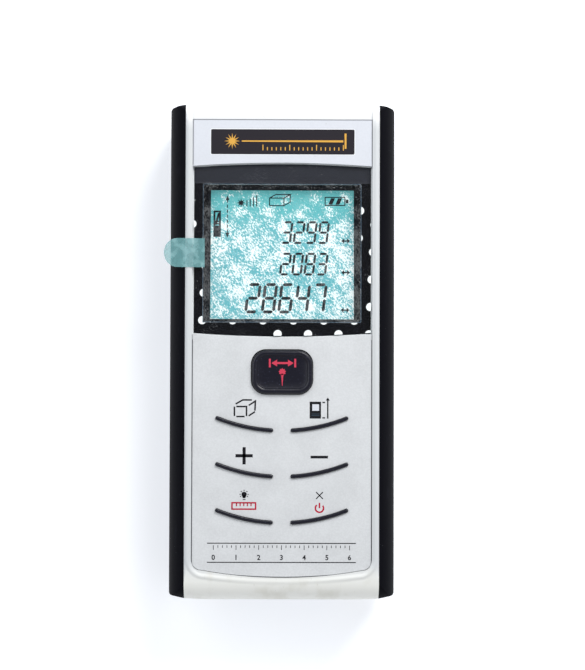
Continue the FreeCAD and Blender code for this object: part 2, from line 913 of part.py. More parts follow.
def rear_shell(blank, cavity, opening):
    lower = box("lower_half", (-at.half, at.half), (at.tail, at.nose), (0, size.split_height))
    skin = cut("rear_skin", common("rear_blank", blank, lower), cavity, opening)
    bosses = [cylinder("rear_boss", size.boss_radius, "Z", (size.wall - 0.5, size.split_height), spot)
              for spot in screw_places()]
    posts = [cylinder("head_post", size.head_post_radius, "Z", (size.wall - 0.5, size.head_post_top), spot)
             for spot in head_screw_places()]
    solid = fuse("rear_with_bay", skin, *bosses, *posts, *bay_box(), strap_block())
    holes = bay_hollows() + strap_slots()
    for spot in screw_places():
        holes.append(cylinder("screw_well", size.screw_head_radius + size.screw_gap, "Z",
                              (-OVERRUN, size.screw_seat), spot))
        holes.append(cylinder("screw_way", size.screw_radius + size.screw_gap, "Z",
                              (size.screw_seat - OVERRUN, size.split_height + OVERRUN), spot))
    head_pilot_end = size.head_screw_seat - size.head_screw_length - size.pilot_depth / 2
    for spot in head_screw_places():
        holes.append(cylinder("head_pilot", size.board_screw_radius + size.pilot_gap, "Z",
                              (head_pilot_end, size.head_post_top + OVERRUN), spot))
    holes.append(prism("label_recess", "XY", [label_zone(size.label_gap)], (-OVERRUN, size.label_recess)))
    return sub_part("rear_shell", cut("rear_solid", solid, *holes))


def grip_section():
    """The right grip's cross-section: a C whose two lips wrap the housing's step."""
    inner = at.rail_outer + size.grip_gap
    outer = at.side + size.grip_gap
    step = at.side - at.rail_outer
    top = size.body_thickness - size.grip_drop
    top_step = size.body_thickness - size.side_step_drop
    return [
        Corner(inner, size.grip_base, size.grip_back_round),
        Corner(at.half, size.grip_base + size.grip_back_rise),
        Corner(at.half, top - size.grip_front_rise, size.grip_front_round),
        Corner(inner, top),
        Corner(inner, top_step),
        Corner(outer, top_step - step),
        Corner(outer, size.side_step_base + step),
        Corner(inner, size.side_step_base),
    ]


def grip_plan():
    """The grips from above: both ends slope back to a small round corner."""
    inner, corner, slope = at.rail_outer, size.grip_corner, size.grip_end_slope
    tail = at.tail + size.tail_bow / 2
    right = [
        Corner(inner, tail),
        Corner(at.half - corner, tail + slope, corner),
        Corner(at.half, tail + slope + corner),
        Corner(at.half, at.nose - slope - corner, corner),
        Corner(at.half - corner, at.nose - slope),
        Corner(inner, at.nose),
    ]
    return prism("grip_plan", "XY", [mirrored(right)], (0, size.body_thickness))


def grips(side_profile):
    bar = prism("grip_bar", "XZ", [grip_section()], (at.tail, at.nose))
    right = sub_part("right_grip", common("grip_right", bar, grip_plan(), side_profile))
    left = doc.addObject("Part::Mirroring", "grip_left")
    left.Source = right
    left.Normal = FreeCAD.Vector(1, 0, 0)
    sub_part("left_grip", left)


# ---------------------------------------------------------------- face panels


def face_panels():
    half, gap = at.panel_half, size.panel_gap
    window_radius = bow_radius(half, size.window_bow)
    badge = [Corner(half, at.window_nose - size.window_bow + gap), Corner(half, at.panel_nose)]
    sub_part("badge_panel", prism("badge", "XY", [mirrored(badge, window_radius, -1)],
                                  (at.panel_floor, at.face)))
    tail = at.panel_tail + size.panel_tail_bow
    corner = size.panel_corner - gap
    lower = [
        Corner(half - corner, tail, corner),
        Corner(half, tail + corner),
        Corner(half, at.window_tail + size.window_bow - gap, window_radius, -1),
    ]
    outline = mirrored(lower, bow_radius(half - corner, size.panel_tail_bow))
    loops = [outline, measure_outline(size.key_gap)] + rib_slots(size.rib_width / 2 + size.key_gap)
    sub_part("key_panel", prism("keys_panel", "XY", loops, (at.panel_floor, at.face)))
    pane = window_zone(half, at.window_tail, at.window_nose)
    sub_part("display_window", prism("window_pane", "XY", [pane],
                                     (at.face - size.window_thickness, at.face)))


def window_film():
    """A thin protective sheet on the window, with a round-ended pull tab over the left rail."""
    low, high = at.face, at.face + size.film_thickness
    half = at.panel_half - size.film_margin
    base = at.window_tail + size.film_margin
    top = at.window_nose - size.film_nose_margin
    right = [Corner(half, base + size.window_bow), Corner(half, top)]
    outline = mirrored(right, bow_radius(half, size.window_bow))
    sheet_part = prism("film_sheet", "XY", [outline], (low, high))
    middle = at.view_centre + size.tab_offset
    reach = size.tab_width / 2
    lift = size.body_thickness + size.tab_lift
    end = at.rail_inner + size.tab_reach
    ramp = [
        Corner(-end, lift),
        Corner(0.1 - at.rail_inner, lift),
        Corner(0.75 - at.rail_inner, low),
        Corner(1.2 - at.rail_inner, low),
        Corner(1.2 - at.rail_inner, high),
        Corner(0.8 - at.rail_inner, high),
        Corner(0.15 - at.rail_inner, lift + size.film_thickness),
        Corner(-end, lift + size.film_thickness),
    ]
    strip = prism("tab_strip", "XZ", [ramp], (middle - reach, middle + reach))
    round_start = reach - end
    shape = [
        Corner(round_start, middle + reach, reach * 1.02),
        Corner(round_start, middle - reach),
        Corner(2 - at.rail_inner, middle - reach),
        Corner(2 - at.rail_inner, middle + reach),
    ]
    tab = common("film_tab", strip, prism("tab_shape", "XY", [shape], (low - OVERRUN, lift + OVERRUN)))
    sub_part("window_film", fuse("film", sheet_part, tab))


# ---------------------------------------------------------------- keys


def key_bar(row, across, half_width):
    """One function key's rib outline; across is -1 for the left column and +1 for the right."""
    centre = at.first_rib - row * size.row_pitch + size.rib_radius
    near = size.rib_inner + size.rib_width / 2
    far = size.rib_outer - size.rib_width / 2
    ends = (near, far) if across > 0 else (-far, -near)
    return arc_bar(centre, size.rib_radius, ends, half_width)


def key_centre(row):
    """Y of a function key's plunger, which stands on the rib's arc."""
    drop = (size.rib_radius * size.rib_radius - size.key_side * size.key_side).root()
    return at.first_rib - row * size.row_pitch + size.rib_radius - drop


def function_key(label, row, across):
    body = new_body(label + "_body")
    pad(body, label + "_flange", "XY", [key_bar(row, across, size.rib_width / 2 + size.flange_rim)],
        (at.flange_base, at.flange_top))
    pad(body, label + "_rib", "XY", [key_bar(row, across, size.rib_width / 2)],
        (at.flange_base, at.face + size.rib_proud))
    pad(body, label + "_plunger", "XY",
        [Circle(across * size.key_side, key_centre(row), size.plunger_radius)],
        (at.plunger_base, at.flange_top))
    top = at.face.value + SIZES["rib_proud"]
    round_edges(body, label + "_round", size.rib_edge,
                lambda edge: all(abs(v.Point.z - top) < 1e-6 for v in edge.Vertexes))
    return sub_part(label, body)


def measure_button():
    body = new_body("measure_body")
    top = at.face + size.measure_proud
    pad(body, "measure_flange", "XY", [measure_outline(size.flange_rim)], (at.flange_base, at.flange_top))
    pad(body, "measure_cap", "XY", [measure_outline(0)], (at.flange_base, top))
    pad(body, "measure_plunger", "XY", [Circle(0, at.measure_y, size.plunger_radius)],
        (at.plunger_base, at.flange_top))
    pocket(body, "measure_dish", [measure_outline(-size.measure_rim)], (top - size.measure_dish, top))
    outer = SIZES["measure_width"] / 2 - SIZES["measure_corner"] / 3
    depth = SIZES["measure_length"] / 2 - SIZES["measure_corner"] / 3
    round_edges(body, "measure_round", size.measure_edge,
                lambda edge: is_outer_rim(edge, top.value, outer, depth))
    return sub_part("measure_button", body)


def is_outer_rim(edge, level, half_x, half_y):
    """True for an edge at that level whose middle lies outside the box of half sizes."""
    if any(abs(v.Point.z - level) > 1e-6 for v in edge.Vertexes):
        return False
    middle = edge.CenterOfMass
    return abs(middle.x) > half_x or abs(middle.y - at.measure_y.value) > half_y


def keys():
    measure_button()
    names = [("volume_key", "reference_key"), ("plus_key", "minus_key"), ("unit_key", "off_key")]
    for row, (left, right) in enumerate(names):
        function_key(left, row, -1)
        function_key(right, row, 1)


def keypad_mat():
    half = size.mat_width / 2
    base = at.board_top + size.part_gap
    radius = size.plunger_radius + size.mat_hole_gap
    outline = rounded_rectangle((-half, half), (at.board_tail + OVERRUN, at.frame_tail - 2.5), Dim.of(1.5))
    holes = [Circle(0, at.measure_y, radius)]
    for row in range(3):
        holes += [Circle(across * size.key_side, key_centre(row), radius) for across in (-1, 1)]
    sub_part("keypad_mat", prism("mat", "XY", [outline] + holes, (base, base + size.mat_thickness)))


# ---------------------------------------------------------------- display stack and board


def ring(label, outer, inner, span):
    """A rectangular ring; outer and inner are half width and half length about the view's centre."""
    def loop(half_x, half_y):
        return rectangle((-half_x, half_x), (at.view_centre - half_y, at.view_centre + half_y))
    return prism(label + "_ring", "XY", [loop(*outer), loop(*inner)], span)


def display_stack():
    gap = size.stack_gap
    light_base = at.board_top + gap
    glass_base = light_base + size.backlight_thickness + gap
    glass_top = glass_base + size.glass_thickness
    frame_top = at.inner_top - size.gasket_thickness - size.part_gap
    glass_tail = at.view_centre - at.glass_reach
    glass_nose = at.view_centre + at.glass_reach
    zebra_end = glass_tail + 0.2 + size.zebra_width
    half_zebra = size.zebra_length / 2
    sub_part("lcd_glass", box("glass", (-at.glass_half, at.glass_half), (glass_tail, glass_nose),
                              (glass_base, glass_top)))
    sub_part("backlight", box("light", (0.5 - at.glass_half, at.glass_half - 0.5),
                              (zebra_end + 0.2, glass_nose - 0.2), (light_base, glass_base - gap)))
    sub_part("zebra_strip", box("zebra", (-half_zebra, half_zebra), (glass_tail + 0.2, zebra_end),
                                (light_base - size.part_gap, glass_base - size.part_gap)))
    outer = (at.frame_half, at.frame_reach)
    inner = (at.glass_half + gap, at.glass_reach + gap)
    lip = (at.glass_half - size.frame_lip, at.glass_reach - size.frame_lip)
    wall = ring("frame_wall", outer, inner, (at.board_top + size.part_gap, frame_top))
    rim = ring("frame_lip", (inner[0] + 0.2, inner[1] + 0.2), lip, (glass_top + gap, frame_top))
    sub_part("lcd_frame", fuse("frame", wall, rim))
    seal_inner = (at.view_half + size.gasket_inset, size.view_length / 2 + size.gasket_inset)
    seal_outer = (at.frame_half - 0.1, at.frame_reach - 0.1)
    sub_part("lcd_gasket", ring("gasket", seal_outer, seal_inner,
                                (frame_top + size.part_gap / 2,
                                 frame_top + size.part_gap / 2 + size.gasket_thickness)))


def main_board():
    slab = box("board_slab", (-at.board_half, at.board_half), (at.board_tail, at.board_nose),
               (size.board_level, at.board_top))
    radius = size.board_screw_radius + size.board_hole_gap
    span = (size.board_level - OVERRUN, at.board_top + OVERRUN)
    holes = [cylinder("board_hole", radius, "Z", span, spot) for spot in post_places()]
    sub_part("main_board", cut("board", slab, *holes))


def board_parts():
    """The parts soldered to the underside of the board."""
    under = size.board_level
    chip = size.chip_width / 2
    along = at.bay_nose - 8.7
    sub_part("processor", box("chip", (-2 - chip, chip - 2), (along - chip, along + chip),
                              (under - size.chip_height, under)))
    sub_part("buzzer", cylinder("sounder", size.buzzer_radius, "Z", (under - size.buzzer_height, under),
                                (Dim.of(-10), at.head_tail - 11)))
    can = size.shield_width / 2
    middle = at.head_tail - 11.2
    thin = size.shield_wall
    outside = box("can_outside", (7 - can, 7 + can), (middle - can, middle + can),
                  (under - size.shield_height, under))
    inside = box("can_inside", (7 - can + thin, 7 + can - thin), (middle - can + thin, middle + can - thin),
                 (under - size.shield_height + thin, under + OVERRUN))
    sub_part("shield_can", cut("can", outside, inside))


def flex_link():
    """The short flat cable between the optical head's board and the main board."""
    board_back = at.head_tail - size.optics_board_gap - size.optics_board_thickness
    socket_nose = board_back - 0.6
    base = size.board_level - size.connector_height
    half = size.connector_width / 2
    sub_part("flex_connector", box("socket", (-half, half),
                                   (socket_nose - size.connector_length, socket_nose),
                                   (base, size.board_level)))
    width = size.flex_width / 2
    thick = size.flex_thickness
    level = base + 0.3
    end = board_back - size.part_gap
    flat = box("flex_flat", (-width, width), (socket_nose + size.part_gap, end), (level, level + thick))
    drop = box("flex_drop", (-width, width), (end - thick, end), (size.axis_level - 2, level + thick))
    sub_part("flex_cable", fuse("flex", flat, drop))


# ---------------------------------------------------------------- optical head


def bezel():
    """The plate in the nose opening: it holds the big receiving lens and the small exit window."""
    half = size.bezel_width / 2
    low, high = size.bezel_base, size.bezel_top
    rim = size.bezel_rim
    flange = at.bezel_back + size.bezel_flange
    plate = box("bezel_plate", (-half, half), (at.bezel_back, at.nose_face - 0.1), (low, high))
    back = box("bezel_back", (-half - 0.8, half + 0.8), (at.bezel_back, flange), (low - 0.6, high + 0.8))
    edge = rim * 0.4
    dish = box("bezel_dish", (rim - half, half - rim), (at.bezel_face, at.nose + OVERRUN),
               (low + edge, high - edge))
    lens_at = (size.receiver_side, size.axis_level)
    exit_at = (-size.emitter_side, size.axis_level)
    step = at.bezel_face - size.bezel_step
    seat = (at.bezel_back - OVERRUN, step)
    way = (step - OVERRUN, at.nose + OVERRUN)
    holes = [
        cylinder("lens_seat", size.lens_radius + size.optic_gap, "Y", seat, lens_at),
        cylinder("lens_aperture", size.lens_radius - size.lens_lip, "Y", way, lens_at),
        cylinder("exit_seat", size.exit_window_radius + size.optic_gap, "Y", seat, exit_at),
        cylinder("exit_aperture", size.aperture_radius, "Y", way, exit_at),
    ]
    sub_part("optics_bezel", cut("bezel", fuse("bezel_solid", plate, back), dish, *holes))


def front_lenses():
    step = at.bezel_face - size.bezel_step - size.optic_gap
    lens_at = (size.receiver_side, size.axis_level)
    disc = cylinder("lens_disc", size.lens_radius, "Y", (step - size.lens_edge, step), lens_at)
    reach = size.lens_radius - size.lens_lip - 0.1
    dome_radius = bow_radius(reach, size.lens_dome)
    ball = doc.addObject("Part::Sphere", "lens_ball")
    bind(ball, "Radius", dome_radius)
    place(ball, lens_at[0], step + size.lens_dome - dome_radius, lens_at[1])
    column = cylinder("lens_column", reach, "Y", (step - 0.5, step + size.lens_dome + OVERRUN), lens_at)
    sub_part("receiver_lens", fuse("lens", disc, common("lens_dome", ball, column)))
    sub_part("exit_window", cylinder("exit_pane", size.exit_window_radius, "Y",
                                     (step - size.exit_window_thickness, step),
                                     (-size.emitter_side, size.axis_level)))


def optics_block():
    """The moulding that carries both optical paths: a conical one and a straight one."""
    half = size.head_width / 2
    roof = size.board_level - size.head_roof_gap
    front = box("head_front", (-half, half), (at.head_nose - size.head_front_length, at.head_nose),
                (at.head_base, size.head_top))
    rear = box("head_rear", (-half, half), (at.head_tail, at.head_nose - 1), (at.head_base, roof))
    lens_at = (size.receiver_side, size.axis_level)
    exit_at = (-size.emitter_side, size.axis_level)
    seat_end = at.head_tail + size.sensor_seat
    holes = [
        cone("light_tunnel", (size.tunnel_end_radius, size.tunnel_front_radius),
             (seat_end - size.optic_gap, at.head_nose), lens_at),
        cylinder("sensor_bore", size.sensor_radius + size.optic_gap, "Y",
                 (at.head_tail - OVERRUN, seat_end), lens_at),
        cylinder("barrel_bore", size.barrel_radius + size.optic_gap, "Y",
                 (at.barrel_tail - size.optic_gap, at.head_nose + OVERRUN), exit_at),
        cylinder("lead_bore", size.barrel_bore - 0.2, "Y",
                 (at.head_tail - OVERRUN, at.barrel_tail), exit_at),
    ]
    for spot in head_screw_places():
        holes.append(cylinder("post_socket", size.head_post_radius + 0.15, "Z",
                              (at.head_base - OVERRUN, size.head_post_top + 0.1), spot))
        holes.append(cylinder("head_screw_way", size.board_screw_radius + 0.15, "Z",
                              (at.head_base, size.head_screw_seat + OVERRUN), spot))
        holes.append(cylinder("head_screw_well", size.board_screw_head_radius + 0.2, "Z",
                              (size.head_screw_seat, size.head_top + OVERRUN), spot))
    sub_part("optics_block", cut("head", fuse("head_solid", front, rear), *holes))


def laser():
    exit_at = (-size.emitter_side, size.axis_level)
    tube = cylinder("tube_outside", size.barrel_radius, "Y", (at.barrel_tail, at.barrel_nose), exit_at)
    bore = cylinder("tube_bore", size.barrel_bore, "Y",
                    (at.barrel_tail - OVERRUN, at.barrel_nose + OVERRUN), exit_at)
    sub_part("laser_barrel", cut("tube", tube, bore))
    inner = size.barrel_bore - size.optic_gap
    lens_nose = at.barrel_nose - size.collimator_inset
    sub_part("collimator_lens", cylinder("collimator", inner, "Y",
                                         (lens_nose - size.collimator_thickness, lens_nose), exit_at))
    can_tail = at.barrel_tail + size.diode_inset
    can = cylinder("diode_can", inner, "Y", (can_tail, can_tail + size.diode_length), exit_at)
    lead_span = (at.head_tail - size.optics_board_gap + size.part_gap, can_tail + size.diode_inset)
    leads = [cylinder("diode_lead", size.lead_radius, "Y", lead_span,
                      (across * size.lead_pitch - size.emitter_side, size.axis_level))
             for across in (-1, 0, 1)]
    sub_part("laser_diode", fuse("diode", can, *leads))


def receiver():
    lens_at = (size.receiver_side, size.axis_level)
    seat_end = at.head_tail + size.sensor_seat
    sub_part("receiver_filter", cylinder("filter", size.sensor_radius, "Y",
                                         (seat_end - 0.1 - size.filter_thickness, seat_end - 0.1), lens_at))
    base = at.head_tail - 0.3
    flange_end = base + size.sensor_flange
    flange = cylinder("sensor_flange", size.sensor_radius, "Y", (base, flange_end), lens_at)
    can = cylinder("sensor_can", size.sensor_can_radius, "Y",
                   (flange_end - 0.5, flange_end + size.sensor_can_length), lens_at)
    sub_part("photodiode", fuse("sensor", flange, can))
    half = size.optics_board_width / 2
    board_nose = at.head_tail - size.optics_board_gap
    sub_part("optics_board", box("head_board", (-half, half),
                                 (board_nose - size.optics_board_thickness, board_nose),
                                 (at.head_base + 0.3, size.board_level - 0.4)))


# ---------------------------------------------------------------- battery bay


def cell(label, across, nub_to_nose):
    """One dry cell; its nub faces a contact and its flat end faces a spring."""
    middle = (across * size.cell_pitch / 2, at.cell_level)
    gap = size.contact_thickness + size.end_slack
    if nub_to_nose:
        nub_end = at.bay_nose - gap
        body_nose = nub_end - size.nub_length
        body_tail = nub_end - size.cell_length
        nub_span = (body_nose - 0.1, nub_end)
    else:
        nub_end = at.bay_tail + gap
        body_tail = nub_end + size.nub_length
        body_nose = nub_end + size.cell_length
        nub_span = (nub_end, body_tail + 0.1)
    can = cylinder(label + "_can", size.cell_radius, "Y", (body_tail, body_nose), middle)
    nub = cylinder(label + "_nub", size.nub_radius, "Y", nub_span, middle)
    sub_part(label, fuse(label + "_cell", can, nub))


def contact_plate(label, x, y):
    return box(label, x, y, (size.cell_base + 1.2, at.bay_roof - 1.2))


def contacts():
    half = size.contact_width / 2
    reach = size.cell_pitch / 2 + half
    depth = (at.bay_tail, at.bay_tail + size.contact_thickness)
    sub_part("tail_contact", contact_plate("tail_plate", (-reach, reach), depth))
    depth = (at.bay_nose - size.contact_thickness, at.bay_nose)
    for label, across in (("nose_contact_left", -1), ("nose_contact_right", 1)):
        middle = across * size.cell_pitch / 2
        plate = contact_plate(label + "_plate", (middle - half, middle + half), depth)
        lead = box(label + "_lead", (middle - size.lead_width / 2, middle + size.lead_width / 2), depth,
                   (at.bay_roof - 2, size.board_level - size.part_gap))
        sub_part(label, fuse(label + "_part", plate, lead))


def contact_spring(label, across, start):
    """A coil spring along +Y from start, made by sweeping the wire's circle along a helix."""
    helix = doc.addObject("Part::Helix", label + "_path")
    length = size.spring_length - 2 * size.spring_wire
    bind(helix, "Pitch", length / size.spring_turns)
    bind(helix, "Height", length)
    bind(helix, "Radius", size.spring_radius)
    wire = doc.addObject("Part::Circle", label + "_wire")
    bind(wire, "Radius", size.spring_wire)
    wire.Placement = FreeCAD.Placement(FreeCAD.Vector(), FreeCAD.Rotation(FreeCAD.Vector(1, 0, 0), 90))
    bind(wire, "Placement.Base.x", size.spring_radius)
    coil = doc.addObject("Part::Sweep", label + "_coil")
    coil.Sections = [wire]
    coil.Spine = (helix, [])
    coil.Solid = True
    coil.Frenet = True
    place(coil, across * size.cell_pitch / 2, start + size.spring_wire, at.cell_level,
          rotation=AXIS_TURN["Y"])
    sub_part(label, coil)


def battery_bay():
    cell("battery_left", -1, True)
    cell("battery_right", 1, False)
    contacts()
    slack = size.contact_thickness + size.end_slack / 2
    contact_spring("contact_spring_left", -1, at.bay_tail + slack)
    contact_spring("contact_spring_right", 1, at.bay_nose - slack - size.spring_length)


def cover_solid(blank):
    """The cover's plate, end wall and side tongues, before its grip ribs are cut."""
    end_face = at.tail + size.cover_end_wall
    plate = box("cover_plate", (-at.cover_half, at.cover_half), (at.tail, at.cover_nose),
                (0, size.cover_plate))
    wall = box("cover_wall", (-at.cover_half, at.cover_half), (at.tail, end_face),
               (0, size.split_height - size.cover_gap))
    shaped = common("cover_shaped", blank, fuse("cover_l", plate, wall))
    reach = at.opening_half + size.tongue_width - 0.1
    tongues = box("cover_tongues", (-reach, reach), (at.tail + size.tongue_tail_gap, at.cover_nose),
                  (size.tongue_base, size.cover_plate))
    return fuse("cover_solid", shaped, tongues)


def battery_cover(blank):
    """The sliding cover, with five finger grooves and an arrow that points the way it opens."""
    half = size.grip_rib_length / 2
    first = at.tail + size.grip_rib_offset
    grooves = []
    for number in range(5):
        low = first + number * size.grip_rib_pitch
        grooves.append(box("cover_groove", (-half, half), (low, low + size.grip_rib_width),
                           (-OVERRUN, size.grip_rib_depth)))
    tip = first + 5 * size.grip_rib_pitch + 1.5
    arrow = [Corner(0, tip), Corner(2.6, tip + 3.6), Corner(-2.6, tip + 3.6)]
    grooves.append(prism("cover_arrow", "XY", [arrow], (-OVERRUN, size.grip_rib_depth * 0.6)))
    sub_part("battery_cover", cut("cover", cover_solid(blank), *grooves))
    pad_half = size.pad_width / 2
    base = size.cover_plate + size.part_gap / 2
    sub_part("cover_pad", box("pad", (-pad_half, pad_half),
                              (at.bay_tail + size.pad_margin, at.bay_nose - size.pad_margin),
                              (base, base + size.pad_thickness)))


# ---------------------------------------------------------------- screws and label


def screw(label, spot, seat, head, radius, up):
    """A round-headed screw along Z; up is +1 when its shank rises from the seat, -1 when it drops."""
    head_radius, head_height = head
    shank_radius, length = radius
    if up > 0:
        head_span = (seat - head_height, seat)
        shank_span = (seat - 0.2, seat + length)
    else:
        head_span = (seat, seat + head_height)
        shank_span = (seat - length, seat + 0.2)
    top = cylinder(label + "_head", head_radius, "Z", head_span, spot)
    shank = cylinder(label + "_shank", shank_radius, "Z", shank_span, spot)
    recess_low = head_span[0] - 1 if up > 0 else head_span[1] - head_height * 0.6
    recess_high = head_span[0] + head_height * 0.6 if up > 0 else head_span[1] + 1
    reach = head_radius * 0.55
    slot = head_radius * 0.16
    cross = [
        box(label + "_recess", (spot[0] - reach, spot[0] + reach), (spot[1] - slot, spot[1] + slot),
            (recess_low, recess_high)),
        box(label + "_recess", (spot[0] - slot, spot[0] + slot), (spot[1] - reach, spot[1] + reach),
            (recess_low, recess_high)),
    ]
    sub_part(label, cut(label + "_screw", fuse(label + "_solid", top, shank), *cross))


def screws():
    shell_head = (size.screw_head_radius, size.screw_head)
    small_head = (size.board_screw_head_radius, size.board_screw_head)
    for number, spot in enumerate(screw_places(), start=1):
        screw(f"shell_screw_{number}", spot, size.screw_seat, shell_head,
              (size.screw_radius, size.screw_length), 1)
    for number, spot in enumerate(post_places(), start=1):
        screw(f"board_screw_{number}", spot, size.board_level, small_head,
              (size.board_screw_radius, size.board_screw_length), 1)
    for number, spot in enumerate(head_screw_places(), start=1):
        screw(f"optics_screw_{number}", spot, size.head_screw_seat, small_head,
              (size.board_screw_radius, size.head_screw_length), -1)


def rear_label():
    top = size.label_recess
    sub_part("rear_label", prism("label", "XY", [label_zone(0)], (top - size.label_thickness, top)))


# ---------------------------------------------------------------- build, check and write


def build_all():
    side_profile = side_prism()
    blank = housing_blank(side_profile)
    cavity = housing_cavity()
    opening = nose_opening()
    front_shell(blank, cavity, opening)
    rear_shell(blank, cavity, opening)
    grips(side_profile)
    face_panels()
    window_film()
    keys()
    keypad_mat()
    main_board()
    display_stack()
    board_parts()
    bezel()
    front_lenses()
    optics_block()
    laser()
    receiver()
    flex_link()
    battery_bay()
    battery_cover(blank)
    screws()
    rear_label()
    doc.recompute()


def check_all():
    """Stops the build if any object is in error or any sub-part has no valid shape."""
    faults = [thing.Name for thing in doc.Objects if {"Invalid", "Error"} & set(thing.State)]
    for thing in sub_parts:
        if thing.Shape.isNull() or not thing.Shape.isValid() or not thing.Shape.Solids:
            faults.append(thing.Label)
    if faults:
        raise RuntimeError("faulty objects: " + ", ".join(faults))


def export_all():
    os.makedirs("parts", exist_ok=True)
    for thing in sub_parts:
        thing.Shape.exportStep(os.path.join("parts", thing.Label + ".step"))


fill_sheet()
at = lay_out()
build_all()
check_all()
export_all()
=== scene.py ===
"""Looks for a pocket laser distance meter: soft-edged housing, rubber grips, printed face, lit display,
protective film, keys, nose optics and back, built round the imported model."""
from dataclasses import dataclass, field
from enum import Enum
import logging
import math
from typing import Callable, Sequence

import bmesh
import bpy
import numpy as np
from mathutils import Matrix, Vector


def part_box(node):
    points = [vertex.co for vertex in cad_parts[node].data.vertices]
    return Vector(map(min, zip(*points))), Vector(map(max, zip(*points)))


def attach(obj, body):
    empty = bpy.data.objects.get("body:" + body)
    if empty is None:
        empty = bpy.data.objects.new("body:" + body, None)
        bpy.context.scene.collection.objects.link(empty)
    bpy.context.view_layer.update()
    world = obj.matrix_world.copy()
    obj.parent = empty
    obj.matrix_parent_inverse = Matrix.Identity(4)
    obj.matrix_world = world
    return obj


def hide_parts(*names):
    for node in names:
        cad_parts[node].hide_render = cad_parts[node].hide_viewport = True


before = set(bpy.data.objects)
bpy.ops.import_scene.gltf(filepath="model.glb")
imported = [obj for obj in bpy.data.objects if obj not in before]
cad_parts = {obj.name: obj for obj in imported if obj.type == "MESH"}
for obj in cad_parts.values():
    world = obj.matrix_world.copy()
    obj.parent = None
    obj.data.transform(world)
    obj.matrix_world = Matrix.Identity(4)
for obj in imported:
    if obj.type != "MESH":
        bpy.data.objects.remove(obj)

log = logging.getLogger("meter")
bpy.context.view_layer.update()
MM = 0.001
Array = np.ndarray
Rings = list[Array]
Point = tuple[float, float]
Outline = Callable[[float], Array]
Colour = tuple[float, float, float, float]

# The panel's face, the printed ink's thickness and the display glass's top, in millimetres.
FACE = 26.0
INK = 0.02
GLASS_TOP = 21.9
# The keys' skirts under the panel, and their stems' radius and foot.
SKIRT = (22.45, 23.4)
STEM_RADIUS = 1.4
STEM_FOOT = 18.35
# The film's dots: how far apart they are, where one lies, their radius, and how X drifts with Y.
DOT_PITCH = (6.72, 6.08)
DOT_START = (2.5, 6.9)
DOT_RADIUS = 0.88
DOT_SKEW = 0.05
# The display's opening in the mask: left, low, right and high sides.
OPENING = (-17.68, 6.47, 17.5, 37.28)


def node_box(node: str) -> tuple[Array, Array]:
    """Give a CAD node's lowest and highest corners in millimetres."""
    low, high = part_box(node)
    return np.array(low) / MM, np.array(high) / MM


class Body(str, Enum):
    """The bodies that new pieces ride on, besides each function key's own."""

    HOUSING = "housing"
    MEASURE = "measure_button_body"


# ---------------------------------------------------------------- mesh work


def faces_between(rows: int, columns: int, wrap_rows: bool = False) -> Array:
    """Index the quads of a grid whose columns close on themselves.

    Args:
        rows: how many rings there are.
        columns: how many points each ring has.
        wrap_rows: whether the last ring joins the first one.

    Returns:
        An array of quads, four vertex numbers each: row r and column c go with r + 1 and c + 1.
    """
    row = np.arange(rows if wrap_rows else rows - 1)[:, None]
    column = np.arange(columns)[None, :]
    after = (column + 1) % columns
    above = (row + 1) % rows
    quads = np.stack([row * columns + column, row * columns + after,
                      above * columns + after, above * columns + column], axis=-1)
    return quads.reshape(-1, 4)


def make_object(name: str, points: Array, faces: list, smooth: bool = True) -> bpy.types.Object:
    """Make a mesh object from points in millimetres, with its normals turned outward.

    Args:
        name: the piece's name.
        points: vertex places, one row each.
        faces: vertex numbers of each face.
        smooth: whether faces are shaded smooth, with edges over 35 degrees kept sharp.

    Returns:
        The object, at the origin and linked to the scene.
    """
    mesh = bpy.data.meshes.new(name)
    mesh.from_pydata((points * MM).tolist(), [], faces)
    mesh.validate()
    made = bpy.data.objects.new(name, mesh)
    bpy.context.scene.collection.objects.link(made)
    turn_outward(made)
    if smooth:
        mesh.shade_smooth()
        mesh.set_sharp_from_angle(angle=math.radians(35))
    return made


def turn_outward(made: bpy.types.Object) -> None:
    """Merge doubled points and make every face of a closed mesh point outward.

    Args:
        made: the mesh object.
    """
    work = bmesh.new()
    work.from_mesh(made.data)
    bmesh.ops.remove_doubles(work, verts=work.verts, dist=1e-8)
    bmesh.ops.recalc_face_normals(work, faces=work.faces)
    work.to_mesh(made.data)
    work.free()


def loft(name: str, rings: Sequence[Array], closed: bool = False, smooth: bool = True) -> bpy.types.Object:
    """Skin a list of rings of equal length.

    The ends get a flat face each, unless the rings close on themselves.

    Args:
        name: the piece's name.
        rings: arrays of points in millimetres, one row a point.
        closed: whether the last ring joins the first.
        smooth: whether the faces are shaded smooth.

    Returns:
        The closed mesh object.
    """
    count = len(rings[0])
    faces = faces_between(len(rings), count, closed).tolist()
    if not closed:
        faces.append(list(range(count))[::-1])
        faces.append(list(range((len(rings) - 1) * count, len(rings) * count)))
    return make_object(name, np.concatenate(rings), faces, smooth)


def raised(outline: Outline, levels: Sequence[Point]) -> Rings:
    """Carry a profile round an outline: each level is an inset and a height.

    Args:
        outline: gives the outline's points, moved inward by a distance.
        levels: pairs of inset and Z.

    Returns:
        One ring for each level.
    """
    rings = []
    for inset, height in levels:
        flat = outline(inset)
        rings.append(np.column_stack([flat, np.full(len(flat), height)]))
    return rings


def rounding(inset: float, top: float, radius: float, steps: int = 5) -> list[Point]:
    """Give the levels of a quarter round: the inset grows by r(1 - cos a) while Z rises by r sin a.

    Args:
        inset: how far in it starts.
        top: Z of its end.
        radius: its radius r.
        steps: how many steps the angle a takes.

    Returns:
        Pairs of inset and Z.
    """
    angles = np.linspace(0, math.pi / 2, steps + 1)
    return [(inset + radius * (1 - math.cos(a)), top - radius + radius * math.sin(a)) for a in angles]


